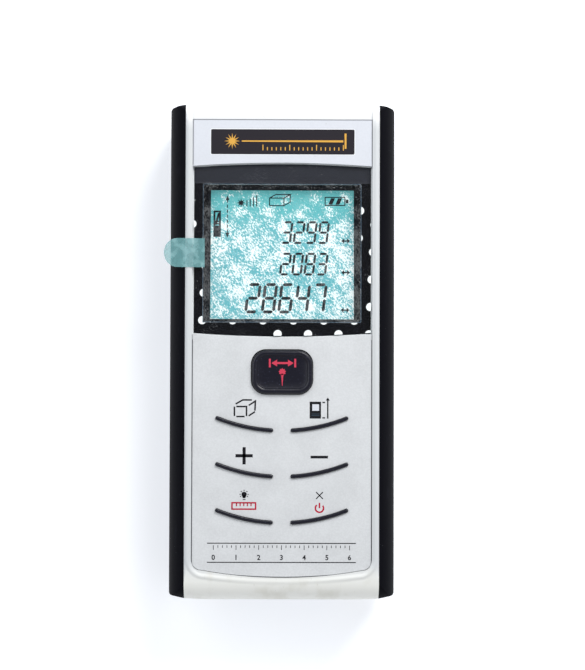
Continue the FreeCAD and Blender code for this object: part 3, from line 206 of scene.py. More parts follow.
def arc_points(centre: Point, radius: float, start: float, end: float, count: int) -> Array:
    """Give points on an arc: its centre plus the radius times the cosine and sine of even angles.

    Args:
        centre: its centre.
        radius: its radius.
        start: the first angle in radians.
        end: the last angle, which gets no point.
        count: how many points there are.

    Returns:
        The points.
    """
    angles = np.linspace(start, end, count, endpoint=False)
    return np.column_stack([centre[0] + radius * np.cos(angles), centre[1] + radius * np.sin(angles)])


def rounded_box(centre: Point, half: Point, radius: float, steps: int = 8) -> Outline:
    """Give the outline function of a rectangle with round corners.

    Args:
        centre: its middle.
        half: its half width and half length.
        radius: its corner radius.
        steps: points on each corner.

    Returns:
        A function from inset to points: four quarter arcs whose radius and reach shrink by the inset.
    """
    def outline(inset: float) -> Array:
        """Join four quarter arcs about the corners' centres.

        Args:
            inset: how far the line moves inward.

        Returns:
            The points.
        """
        corner = max(radius - inset, 0.02)
        reach_x, reach_y = half[0] - inset - corner, half[1] - inset - corner
        arcs = []
        for turn, (sx, sy) in enumerate([(1, 1), (-1, 1), (-1, -1), (1, -1)]):
            start = turn * math.pi / 2
            spot = (centre[0] + sx * reach_x, centre[1] + sy * reach_y)
            arcs.append(arc_points(spot, corner, start, start + math.pi / 2 * (1 + 1 / steps), steps + 1))
        return np.concatenate(arcs)
    return outline


def smile_bar(centre: float, radius: float, ends: Point, half: float) -> Outline:
    """Give the outline function of a bar bent along a smiling arc, with round ends.

    Args:
        centre: Y of the arc's centre, which lies on X = 0.
        radius: the arc's radius.
        ends: X of the two end circles' centres, the lower first.
        half: half the bar's width.

    Returns:
        A function from inset to points: an outer arc, an end circle, an inner arc and an end circle.
    """
    start, stop = (math.asin(x / radius) - math.pi / 2 for x in ends)

    def outline(inset: float) -> Array:
        """Join two long arcs and two end circles.

        Args:
            inset: how far the line moves inward.

        Returns:
            The points.
        """
        width = half - inset
        spots = [(radius * math.cos(a), centre + radius * math.sin(a)) for a in (start, stop)]
        outer = arc_points((0, centre), radius + width, start, stop, 28)
        far = arc_points(spots[1], width, stop, stop + math.pi, 10)
        inner = arc_points((0, centre), radius - width, stop, start, 28)
        near = arc_points(spots[0], width, start + math.pi, start + 2 * math.pi, 10)
        return np.concatenate([outer, far, inner, near])
    return outline


def bowed_box(half: float, low: float, high: float, bows: Point, steps: int) -> Outline:
    """Give the outline function of a rectangle whose low and high edges bow outward.

    Args:
        half: half its width.
        low: Y of the low edge's middle.
        high: Y of the high edge's middle.
        bows: how far each of those two edges falls back at its ends; each edge is a parabola.
        steps: points along each bowed edge.

    Returns:
        A function from inset to points, anticlockwise from the low left corner.
    """
    def outline(inset: float) -> Array:
        """Join the low parabola and the high one; the straight sides are the steps between them.

        Args:
            inset: how far the line moves inward.

        Returns:
            The points.
        """
        reach = half - inset
        x = np.linspace(-reach, reach, steps)
        lower = np.column_stack([x, low + inset + bows[0] * (x / half) ** 2])
        upper = np.column_stack([x[::-1], high - inset - bows[1] * (x[::-1] / half) ** 2])
        return np.concatenate([lower, upper])
    return outline


def disc(centre: Point, radius: float, steps: int = 24) -> Outline:
    """Give the outline function of a circle."""
    return lambda inset: arc_points(centre, radius - inset, 0, 2 * math.pi, steps)


def stroke(points: Sequence[Point], width: float) -> Array:
    """Widen a polyline to a strip with mitred joints.

    Args:
        points: its points.
        width: the strip's width.

    Returns:
        The strip's outline: the points moved by half the width along each joint's mitre, up one side and
        down the other.
    """
    line = np.array(points, float)
    ahead = np.diff(line, axis=0)
    ahead /= np.linalg.norm(ahead, axis=1)[:, None]
    side = np.column_stack([-ahead[:, 1], ahead[:, 0]])
    before = np.vstack([side[:1], side])
    after = np.vstack([side, side[-1:]])
    mitre = before + after
    mitre /= (mitre * after).sum(1)[:, None]
    left, right = line + mitre * width / 2, line - mitre * width / 2
    return np.concatenate([right, left[::-1]])


def join(name: str, pieces: Sequence[bpy.types.Object]) -> bpy.types.Object:
    """Join several mesh objects into one.

    Args:
        name: the name of the result.
        pieces: the objects, of which the first one stays.

    Returns:
        The joined object.
    """
    first = pieces[0]
    with bpy.context.temp_override(active_object=first, object=first, selected_objects=list(pieces),
                                   selected_editable_objects=list(pieces)):
        bpy.ops.object.join()
    first.name = name
    first.data.name = name
    return first


def print_shapes(name: str, outlines: Sequence[Array], base: float, thickness: float) -> bpy.types.Object:
    """Lay flat ink shapes on a surface as thin slabs.

    Args:
        name: the piece's name.
        outlines: each shape's points.
        base: Z of the surface under them.
        thickness: the ink's thickness.

    Returns:
        One object that holds every shape.
    """
    slabs = []
    for number, outline in enumerate(outlines):
        slabs.append(loft(f"{name}_{number}", raised(lambda inset, o=outline: np.array(o, float),
                                                     [(0, base), (0, base + thickness)]), smooth=False))
    return join(name, slabs) if len(slabs) > 1 else slabs[0]


def lettering(name: str, text: str, centre: Point, cap: float, base: float,
              weight: float, thickness: float) -> bpy.types.Object:
    """Write plain numbers as a thin slab, centred on a place.

    Args:
        name: the piece's name.
        text: what it says.
        centre: its middle.
        cap: its height.
        base: Z of the surface under it.
        weight: how far the strokes are thickened, as a share of the font's size.
        thickness: the ink's thickness.

    Returns:
        The mesh object.
    """
    curve = bpy.data.curves.new(name, "FONT")
    curve.body = text
    curve.size = 1.0
    curve.offset = weight
    curve.extrude = 0.5
    curve.resolution_u = 3
    maker = bpy.data.objects.new(name + "_curve", curve)
    bpy.context.scene.collection.objects.link(maker)
    bpy.context.view_layer.update()
    mesh = bpy.data.meshes.new_from_object(maker)
    bpy.data.objects.remove(maker)
    count = len(mesh.vertices)
    places = np.zeros(count * 3)
    mesh.vertices.foreach_get("co", places)
    places = places.reshape(-1, 3)
    low, high = places.min(0), places.max(0)
    scale = cap / (high[1] - low[1])
    places = (places - (low + high) / 2) * [scale, scale, thickness]
    places += [centre[0], centre[1], base + thickness / 2]
    mesh.vertices.foreach_set("co", (places * MM).ravel())
    mesh.update()
    made = bpy.data.objects.new(name, mesh)
    bpy.context.scene.collection.objects.link(made)
    return made


# ---------------------------------------------------------------- finishes


class Wire:
    """One number in a node tree; arithmetic on it adds Math nodes."""

    def __init__(self, bench: "Bench", socket: bpy.types.NodeSocket) -> None:
        """Keep the bench that the socket belongs to."""
        self.bench = bench
        self.socket = socket

    def _math(self, operation: str, *values: "Wire | float") -> "Wire":
        """Add one Math node over the given values."""
        return self.bench.node("ShaderNodeMath", {"operation": operation}, *values)

    def __add__(self, other: "Wire | float") -> "Wire":
        """Add."""
        return self._math("ADD", self, other)

    __radd__ = __add__

    def __sub__(self, other: "Wire | float") -> "Wire":
        """Subtract."""
        return self._math("SUBTRACT", self, other)

    def __rsub__(self, other: "Wire | float") -> "Wire":
        """Subtract from a number."""
        return self._math("SUBTRACT", other, self)

    def __mul__(self, other: "Wire | float") -> "Wire":
        """Multiply."""
        return self._math("MULTIPLY", self, other)

    __rmul__ = __mul__

    def __lt__(self, other: "Wire | float") -> "Wire":
        """Give 1 where smaller."""
        return self._math("LESS_THAN", self, other)

    def __gt__(self, other: "Wire | float") -> "Wire":
        """Give 1 where greater, as the reflected form of smaller."""
        return self._math("GREATER_THAN", self, other)

    def __abs__(self) -> "Wire":
        """Drop the sign."""
        return self._math("ABSOLUTE", self)

    def most(self, other: "Wire | float") -> "Wire":
        """Give the larger of two."""
        return self._math("MAXIMUM", self, other)

    def repeat(self, length: float) -> "Wire":
        """Give the distance past the last whole length, from -length/2 to length/2."""
        return self._math("WRAP", self, length / 2, -length / 2)

    def root(self) -> "Wire":
        """Give the square root."""
        return self._math("SQRT", self)

    def step(self, start: float, stop: float) -> "Wire":
        """Rise smoothly from 0 at start to 1 at stop."""
        return self.bench.node("ShaderNodeMapRange", {"interpolation_type": "SMOOTHSTEP"},
                               self, start, stop, 0.0, 1.0)


class Bench:
    """A node tree, with short ways to add nodes to it."""

    def __init__(self, tree: bpy.types.NodeTree) -> None:
        """Keep the tree, which has no coordinates yet."""
        self.tree = tree
        self.place: Wire | None = None

    def feed(self, socket: bpy.types.NodeSocket, value: "Wire | float | tuple") -> None:
        """Link a wire to a socket, or set a plain value on it.

        Args:
            socket: the input socket.
            value: what it gets.
        """
        if isinstance(value, Wire):
            self.tree.links.new(value.socket, socket)
        else:
            socket.default_value = value

    def node(self, kind: str, settings: dict, *values: "Wire | float | tuple",
             out: int | str = 0, **named: "Wire | float | tuple") -> Wire:
        """Add any node.

        Args:
            kind: the node's type.
            settings: its properties, set before its sockets.
            values: values or wires for its input sockets in order.
            out: which output to give back.
            named: values or wires for input sockets by name, with _ for a space.

        Returns:
            A wire on the chosen output.
        """
        made = self.tree.nodes.new(kind)
        for key, value in settings.items():
            setattr(made, key, value)
        for socket, value in zip(made.inputs, values):
            self.feed(socket, value)
        for key, value in named.items():
            self.feed(made.inputs[key.replace("_", " ")], value)
        return Wire(self, made.outputs[out])

    def spot(self) -> Wire:
        """Give the piece's own coordinates in millimetres, from one pair of nodes for the whole tree.

        Returns:
            A wire that carries the place as a vector.
        """
        if self.place is None:
            own = self.node("ShaderNodeTexCoord", {}, out="Object")
            self.place = self.node("ShaderNodeVectorMath", {"operation": "SCALE"}, own, Scale=1 / MM)
        return self.place

    def axes(self) -> tuple[Wire, Wire, Wire]:
        """Give X, Y and Z in millimetres."""
        split = self.node("ShaderNodeSeparateXYZ", {}, self.spot()).socket.node
        return tuple(Wire(self, socket) for socket in split.outputs)

    def noise(self, size: float, detail: float = 3.0, stretch: tuple = (1.0, 1.0, 1.0),
              shift: float = 0.0, turn: float = 0.0) -> Wire:
        """Give cloudy noise from 0 to 1.

        Args:
            size: how wide its blotches are, in millimetres.
            detail: how many finer layers it has.
            stretch: factors on the coordinates; below 1 draws it out along that axis.
            shift: where in the noise to look, so that two noises differ.
            turn: an angle in degrees by which the stretch is turned about Z.

        Returns:
            The noise.
        """
        spot = self.spot()
        if turn:
            spot = self.node("ShaderNodeVectorRotate", {"rotation_type": "Z_AXIS"}, Vector=spot,
                             Angle=math.radians(turn))
        spot = self.node("ShaderNodeVectorMath", {"operation": "MULTIPLY_ADD"}, spot, stretch,
                         (shift, shift, shift))
        return self.node("ShaderNodeTexNoise", {"noise_dimensions": "3D"}, Vector=spot, Scale=1 / size,
                         Detail=detail)

    def specks(self, size: float, radius: float, shift: float = 0.0) -> Wire:
        """Give 1 where the nearest of many scattered points is closer than a radius.

        Args:
            size: about how far apart the points are, in millimetres.
            radius: the specks' radius in millimetres.
            shift: where in the scatter to look.

        Returns:
            The mask.
        """
        spot = self.node("ShaderNodeVectorMath", {"operation": "ADD"}, self.spot(), (shift, shift, 0.0))
        cell = self.node("ShaderNodeTexVoronoi", {"feature": "F1"}, Vector=spot, Scale=1 / size,
                         out="Distance")
        return cell < radius / size

    def mix(self, amount: Wire | float, first: "Wire | tuple", second: "Wire | tuple") -> Wire:
        """Blend two colours.

        Args:
            amount: 0 for the first, 1 for the second.
            first: a colour.
            second: another colour.

        Returns:
            The blend.
        """
        made = self.tree.nodes.new("ShaderNodeMix")
        made.data_type = "RGBA"
        for socket, value in zip((made.inputs[0], made.inputs[6], made.inputs[7]), (amount, first, second)):
            self.feed(socket, value)
        return Wire(self, made.outputs[2])

    def bump(self, height: Wire, depth: float) -> Wire:
        """Turn a height from 0 to 1 into a normal; depth is in millimetres."""
        return self.node("ShaderNodeBump", {}, Height=height, Strength=1.0, Distance=depth * MM,
                         out="Normal")

    def surface(self, **sockets: "Wire | float | tuple") -> Wire:
        """Add the main shader with the given sockets, and give its output."""
        return self.node("ShaderNodeBsdfPrincipled", {}, **sockets)


def shade(red: float, green: float, blue: float) -> Colour:
    """Turn a screen colour into a linear one.

    Args:
        red: its red, from 0 to 255.
        green: its green.
        blue: its blue.

    Returns:
        The colour with an alpha of 1.
    """
    def linear(value: float) -> float:
        """Undo the screen's curve: a straight line near black, and a power of 2.4 above it."""
        part = value / 255
        return part / 12.92 if part <= 0.04045 else ((part + 0.055) / 1.055) ** 2.4
    return linear(red), linear(green), linear(blue), 1.0


class Finish:
    """A finish: made once, then given to every piece that has it."""

    name = "finish"

    def __init__(self) -> None:
        """Start with no material yet."""
        self._made: bpy.types.Material | None = None

    def build(self, bench: Bench) -> Wire:
        """Lay out the nodes and give the shader."""
        raise NotImplementedError

    def material(self) -> bpy.types.Material:
        """Give the material, made at first use.

        Returns:
            The material.
        """
        if self._made is None:
            self._made = bpy.data.materials.new(self.name)
            self._made.use_nodes = True
            bench = Bench(self._made.node_tree)
            bench.tree.nodes.clear()
            output = bench.tree.nodes.new("ShaderNodeOutputMaterial")
            bench.feed(output.inputs["Surface"], self.build(bench))
        return self._made


class Plain(Finish):
    """A moulded, painted or metal finish with small unevenness in its colour, gloss and surface."""

    def __init__(self, name: str, colour: Colour, roughness: float = 0.45, metallic: float = 0.0,
                 spread: float = 0.12, grain: float = 0.35, depth: float = 0.004, coat: float = 0.0,
                 gloss: float = 0.5) -> None:
        """Set the finish.

        Args:
            name: the material's name.
            colour: its colour.
            roughness: its mean roughness.
            metallic: 1 for bare metal.
            spread: how much the colour darkens in blotches.
            grain: the size of its surface grain in millimetres.
            depth: the depth of that grain in millimetres.
            coat: how much clear coat it has.
            gloss: the strength of its reflection, 0.5 for common plastic.
        """
        super().__init__()
        self.name, self.colour, self.roughness = name, colour, roughness
        self.metallic, self.spread, self.grain, self.depth = metallic, spread, grain, depth
        self.coat, self.gloss = coat, gloss

    def build(self, bench: Bench) -> Wire:
        """Blend towards a darker shade by cloudy noise, and bump with fine grain.

        Args:
            bench: the node tree to lay it out in.

        Returns:
            The shader.
        """
        dark = tuple(part * (1 - self.spread) for part in self.colour[:3]) + (1.0,)
        cloud = bench.noise(6.0, 4.0).step(0.4, 0.7)
        fine = bench.noise(self.grain, 2.0)
        return bench.surface(Base_Color=bench.mix(cloud, self.colour, dark),
                             Roughness=fine * 0.12 + (self.roughness - 0.06), Metallic=self.metallic,
                             Coat_Weight=self.coat, Specular_IOR_Level=self.gloss,
                             Normal=bench.bump(fine, self.depth))


class WhiteShell(Finish):
    """White moulded plastic, painted lighter and faintly smudged towards the tail, with painted shade on the
    rails' tops.
    """

    name = "white_shell"

    def build(self, bench: Bench) -> Wire:
        """Paint the tail lighter as painted light and the rails' tops grey as painted shade, then add
        smudges, thin marks and specks of dirt.

        Args:
            bench: the node tree to lay it out in.

        Returns:
            The shader.
        """
        _, y, z = bench.axes()
        white, rail_shade, lit_tail = shade(222, 223, 225), shade(196, 199, 202), shade(236, 236, 232)
        # Painted light: the shell is blended towards a lighter tone at the tail's end.
        tail = y.step(-35.0, -54.0)
        # Painted shade: the rails' tops, from tail to nose, are blended towards a darker grey.
        rails = y.step(-52.0, -46.0) * y.step(52.5, 49.0) * z.step(25.2, 25.9)
        base = bench.mix(rails, bench.mix(tail, white, lit_tail), rail_shade)
        smudge = bench.noise(5.0, 4.0, (1.0, 0.6, 1.0)).step(0.5, 0.74) * (tail * 0.6 + 0.1)
        base = bench.mix(smudge * 0.5, base, shade(196, 192, 178))
        scuff = bench.noise(1.1, 5.0, (2.6, 0.7, 1.0), 9.0).step(0.68, 0.74)
        base = bench.mix(scuff * 0.3, base, shade(176, 172, 168))
        base = bench.mix(bench.specks(8.0, 0.1), base, shade(60, 55, 52))
        fine = bench.noise(0.22, 2.0)
        return bench.surface(Base_Color=base, Roughness=fine * 0.15 + scuff * 0.15 + 0.4,
                             Specular_IOR_Level=0.35, Normal=bench.bump(fine, 0.003))


class GripRubber(Finish):
    """Near-black soft grip with pale dust caught in its fine texture."""

    name = "grip_rubber"

    def build(self, bench: Bench) -> Wire:
        """Scatter dust specks and faint scuffs over a fine matte grain.

        Args:
            bench: the node tree to lay it out in.

        Returns:
            The shader.
        """
        black, worn = shade(6, 6, 13), shade(19, 19, 29)
        scuff = bench.noise(2.4, 5.0, (1.6, 0.5, 1.0)).step(0.58, 0.8)
        base = bench.mix(scuff * 0.5, black, worn)
        dust = bench.specks(2.3, 0.06).most(bench.specks(1.3, 0.035, 4.0))
        base = bench.mix(dust * 0.5, base, shade(130, 132, 138))
        fine = bench.noise(0.16, 2.0)
        return bench.surface(Base_Color=base, Roughness=fine * 0.2 + 0.5, Specular_IOR_Level=0.06,
                             Normal=bench.bump(fine, 0.008))


class PanelPrint(Finish):
    """Printed satin sheet on the face, with fine mottling, hairline marks and specks."""

    def __init__(self, name: str, colour: Colour, mottle: float) -> None:
        """Set its colour and how strong the mottling is."""
        super().__init__()
        self.name, self.colour, self.mottle = name, colour, mottle

    def build(self, bench: Bench) -> Wire:
        """Mix in fine mottling, long hairline scratches and a few dark specks.

        Args:
            bench: the node tree to lay it out in.

        Returns:
            The shader.
        """
        dark = tuple(part * (1 - self.mottle) for part in self.colour[:3]) + (1.0,)
        fine = bench.noise(0.34, 4.0)
        cloud = bench.noise(7.0, 4.0).step(0.38, 0.7)
        base = bench.mix(fine.step(0.36, 0.62) * 0.5 + cloud * 0.5, self.colour, dark)
        hair = bench.noise(0.9, 2.0, (0.35, 3.2, 1.0), 3.0)
        line = (abs(hair - 0.5) < 0.004) * bench.noise(7.0, 2.0, shift=20.0).step(0.55, 0.65)
        base = bench.mix(line * 0.3, base, shade(150, 152, 156))
        base = bench.mix(bench.specks(8.0, 0.1, 2.5) * 0.85, base, shade(60, 56, 54))
        grime = bench.noise(0.8, 6.0, shift=50.0).step(0.66, 0.76)
        grime = grime * bench.noise(8.0, 2.0, shift=61.0).step(0.5, 0.62)
        base = bench.mix(grime * 0.35, base, shade(160, 160, 162))
        return bench.surface(Base_Color=base, Roughness=fine * 0.1 + 0.42, Specular_IOR_Level=0.3,
                             Normal=bench.bump(fine, 0.0015))


class KeyRubber(Finish):
    """Black silicone with a soft bluish sheen and a finely speckled face."""

    name = "key_rubber"

    def build(self, bench: Bench) -> Wire:
        """Lighten in fine specks, as light catches the moulded texture.

        Args:
            bench: the node tree to lay it out in.

        Returns:
            The shader.
        """
        fine = bench.noise(0.2, 2.0)
        glint = bench.noise(0.35, 4.0, shift=5.0).step(0.6, 0.75)
        base = bench.mix(glint * 0.34, shade(13, 13, 27), shade(92, 97, 122))
        return bench.surface(Base_Color=base, Roughness=fine * 0.12 + 0.24, Specular_IOR_Level=0.38,
                             Normal=bench.bump(fine, 0.006))


class Ink(Finish):
    """Screen-printed ink with a slightly uneven edge of gloss."""

    def __init__(self, name: str, colour: Colour, roughness: float = 0.45) -> None:
        """Set its colour and gloss."""
        super().__init__()
        self.name, self.colour, self.roughness = name, colour, roughness

    def build(self, bench: Bench) -> Wire:
        """Vary the ink's depth with fine noise.

        Args:
            bench: the node tree to lay it out in.

        Returns:
            The shader.
        """
        dark = tuple(part * 0.8 for part in self.colour[:3]) + (1.0,)
        fine = bench.noise(0.25, 3.0)
        return bench.surface(Base_Color=bench.mix(fine, self.colour, dark),
                             Roughness=fine * 0.1 + (self.roughness - 0.05), Specular_IOR_Level=0.2)


def dot_lattice(bench: Bench, radius: float, soft: float) -> Wire:
    """Give 1 inside the film's dots: the distance to the nearest point of two grids, stepped at a radius.

    One grid is shifted by half its pitch, and X is skewed by a share of Y, as the film lies slightly askew.

    Args:
        bench: the node tree.
        radius: the dots' radius in millimetres.
        soft: how far their edge fades to each side.

    Returns:
        The mask.
    """
    x, y, _ = bench.axes()
    across_all, along_all = x - DOT_START[0] - (y - DOT_START[1]) * DOT_SKEW, y - DOT_START[1]
    masks = []
    for part in (0.0, 0.5):
        across = (across_all - DOT_PITCH[0] * part).repeat(DOT_PITCH[0])
        along = (along_all - DOT_PITCH[1] * part).repeat(DOT_PITCH[1])
        masks.append((across * across + along * along).root().step(radius + soft, radius - soft))
    return masks[0].most(masks[1])


def frost(bench: Bench, shift: float) -> Wire:
    """Give the feathery white of trapped bubbles.

    It is fine noise, drawn out along a slant and stepped where it and a density add up. The density
    grows round each dot and from the display's nose end to its middle.

    Args:
        bench: the node tree.
        shift: where in the noise to look.

    Returns:
        The mask, 1 where white.
    """
    _, y, _ = bench.axes()
    lower = y.step(35.5, 26.0)
    cloud = dot_lattice(bench, 1.2, 1.4)
    drift = bench.noise(2.8, 2.0, (0.8, 1.2, 1.0), shift + 11.0, 40.0)
    density = lower * 0.17 + cloud * (0.24 - lower * 0.12) + drift * 0.5
    grain = bench.noise(0.36, 6.0, (0.8, 1.3, 1.0), shift, 52.0)
    crumb = bench.noise(0.19, 2.0, shift=shift + 5.0)
    return (grain * 1.1 + crumb * 0.45 + density).step(1.15, 1.36)


class LitDisplay(Finish):
    """The lit liquid-crystal area: blue-green under the frosted light of the film's bubbles."""

    name = "lit_display"

    def build(self, bench: Bench) -> Wire:
        """Fade from green at the nose end to blue-green, then frost it unevenly.

        Args:
            bench: the node tree to lay it out in.

        Returns:
            The shader.
        """
        _, y, _ = bench.axes()
        green, blue = shade(88, 163, 165), shade(86, 158, 167)
        base = bench.mix(y.step(36.0, 24.0), green, blue)
        cloud = bench.noise(0.5, 3.0, shift=4.0).step(0.35, 0.65)
        base = bench.mix(cloud * 0.3, base, shade(66, 134, 142))
        base = bench.mix(frost(bench, 2.0) * 0.97, base, shade(220, 226, 226))
        return bench.surface(Base_Color=base, Roughness=0.35, Emission_Color=base, Emission_Strength=0.5,
                             Specular_IOR_Level=0.2)


class ProtectiveFilm(Finish):
    """Clear film with printed white dots on a staggered grid and white bubbles caught under it."""

    name = "protective_film"

    def __init__(self, low: Point, high: Point) -> None:
        """Keep the corners of the area over the display, where the bubbles are."""
        super().__init__()
        self.low, self.high = low, high

    def build(self, bench: Bench) -> Wire:
        """Show crisp dots over the border; inside the display show a thin frost, thicker at its rim.

        The lower left corner and the nose edge have no dots.

        Args:
            bench: the node tree to lay it out in.

        Returns:
            The shader.
        """
        x, y, _ = bench.axes()
        spread = 0.12
        inside = (x.step(self.low[0] - spread, self.low[0] + spread)
                  * x.step(self.high[0] + spread, self.high[0] - spread)
                  * y.step(self.low[1] - spread, self.low[1] + spread)
                  * y.step(self.high[1] + spread, self.high[1] - spread))
        # The dots are left out of the lower left corner.
        dotless_corner = x.step(-3.5, -4.5) * y.step(5.6, 5.2)
        dots = dot_lattice(bench, DOT_RADIUS, 0.1) * (1 - dotless_corner) * y.step(33.6, 33.3)
        rim = 1 - (abs(x + 0.1).step(17.2, 16.9) * abs(y - 21.72).step(14.7, 14.3))
        crumbs = bench.noise(0.26, 3.0, shift=8.0).step(0.62, 0.70)
        scratches = bench.noise(0.5, 4.0, (3.0, 0.6, 1.0), 15.0).step(0.70, 0.76)
        corner = bench.noise(5.0, 2.0, shift=33.0).step(0.52, 0.68)
        alpha = inside * frost(bench, 2.0) * 0.05 + (1 - inside) * dots
        alpha = alpha.most(inside * rim * crumbs * 0.22).most(scratches * corner * 0.5)
        alpha = alpha.most(crumbs * corner * 0.2)
        return bench.surface(Base_Color=shade(246, 251, 253), Roughness=0.3, Alpha=alpha * 0.99 + 0.002,
                             Specular_IOR_Level=0.3)


class TabFilm(Finish):
    """The film's blue-green pull tab, which lets what lies under it show through."""

    name = "tab_film"

    def build(self, bench: Bench) -> Wire:
        """Tint a half-clear sheet, cloudier in blotches where glue has worn.

        Args:
            bench: the node tree to lay it out in.

        Returns:
            The shader.
        """
        cloud = bench.noise(1.6, 4.0).step(0.4, 0.75)
        base = bench.mix(cloud, shade(118, 172, 176), shade(150, 196, 200))
        return bench.surface(Base_Color=base, Roughness=0.25, Alpha=cloud * 0.12 + 0.44)


class ClearPane(Finish):
    """Clear plastic window: almost all see-through, with a faint gloss."""

    name = "clear_pane"

    def build(self, bench: Bench) -> Wire:
        """Let light straight through, and mirror a little of it.

        Args:
            bench: the node tree to lay it out in.

        Returns:
            The shader.
        """
        fine = bench.noise(2.0, 3.0)
        clear = bench.node("ShaderNodeBsdfTransparent", {}, (0.98, 0.99, 0.99, 1.0))
        gloss = bench.node("ShaderNodeBsdfGlossy", {}, Color=(1.0, 1.0, 1.0, 1.0), Roughness=0.08)
        return bench.node("ShaderNodeMixShader", {}, fine * 0.004 + 0.003, clear, gloss)


class CoatedGlass(Finish):
    """Lens glass with a faint coloured coating over a dark tunnel."""

    def __init__(self, name: str, tint: Colour) -> None:
        """Set the coating's colour."""
        super().__init__()
        self.name, self.tint = name, tint

    def build(self, bench: Bench) -> Wire:
        """Mirror through a clear coat over deep colour that shifts slightly across the glass.

        Args:
            bench: the node tree to lay it out in.

        Returns:
            The shader.
        """
        cloud = bench.noise(4.0, 2.0).step(0.3, 0.7)
        deep = tuple(part * 0.3 for part in self.tint[:3]) + (1.0,)
        return bench.surface(Base_Color=bench.mix(cloud, self.tint, deep), Roughness=0.06,
                             Alpha=0.55, Coat_Weight=1.0, IOR=1.6)


class StudioFloor(Finish):
    """White paper sweep that glows a little, so that its shadows stay pale."""

    name = "studio_floor"

    def build(self, bench: Bench) -> Wire:
        """Vary the paper very slightly, and add a constant glow.

        Args:
            bench: the node tree to lay it out in.

        Returns:
            The shader.
        """
        cloud = bench.noise(60.0, 3.0)
        base = bench.mix(cloud, shade(236, 238, 240), shade(232, 233, 238))
        return bench.surface(Base_Color=base, Roughness=0.7, Specular_IOR_Level=0.1,
                             Emission_Color=shade(244, 246, 252), Emission_Strength=0.42)


class CircuitBoard(Finish):
    """Green solder mask over a grid of tracks, with bright pads."""

    name = "circuit_board"

    def build(self, bench: Bench) -> Wire:
        """Draw tracks as thin bands of stepped noise, and pads as specks.

        Args:
            bench: the node tree to lay it out in.

        Returns:
            The shader.
        """
        tracks = bench.node("ShaderNodeTexVoronoi", {"feature": "DISTANCE_TO_EDGE"},
                            Vector=bench.spot(), Scale=0.45, out="Distance").step(0.08, 0.05)
        base = bench.mix(tracks * 0.6, shade(18, 78, 44), shade(46, 120, 68))
        pads = bench.specks(2.2, 0.3)
        base = bench.mix(pads, base, shade(198, 186, 140))
        return bench.surface(Base_Color=base, Roughness=0.35, Metallic=pads * 0.8)


# ---------------------------------------------------------------- placing pieces


def cover(piece: bpy.types.Object, finish: Finish) -> None:
    """Give a piece one finish all over.

    Args:
        piece: the mesh object.
        finish: its finish.
    """
    if not piece.material_slots:
        piece.data.materials.append(None)
    for place in piece.material_slots:
        place.material = finish.material()


def settle(piece: bpy.types.Object, finish: Finish, body: str = Body.HOUSING.value,
           nodes: Sequence[str] = ()) -> bpy.types.Object:
    """Dress a new piece and put it on its body.

    Args:
        piece: the mesh object.
        finish: its finish.
        body: the body it rides.
        nodes: CAD nodes it stands for.

    Returns:
        The same piece.
    """
    cover(piece, finish)
    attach(piece, body)
    if nodes:
        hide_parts(*nodes)
    log.info("%s on %s", piece.name, body)
    return piece


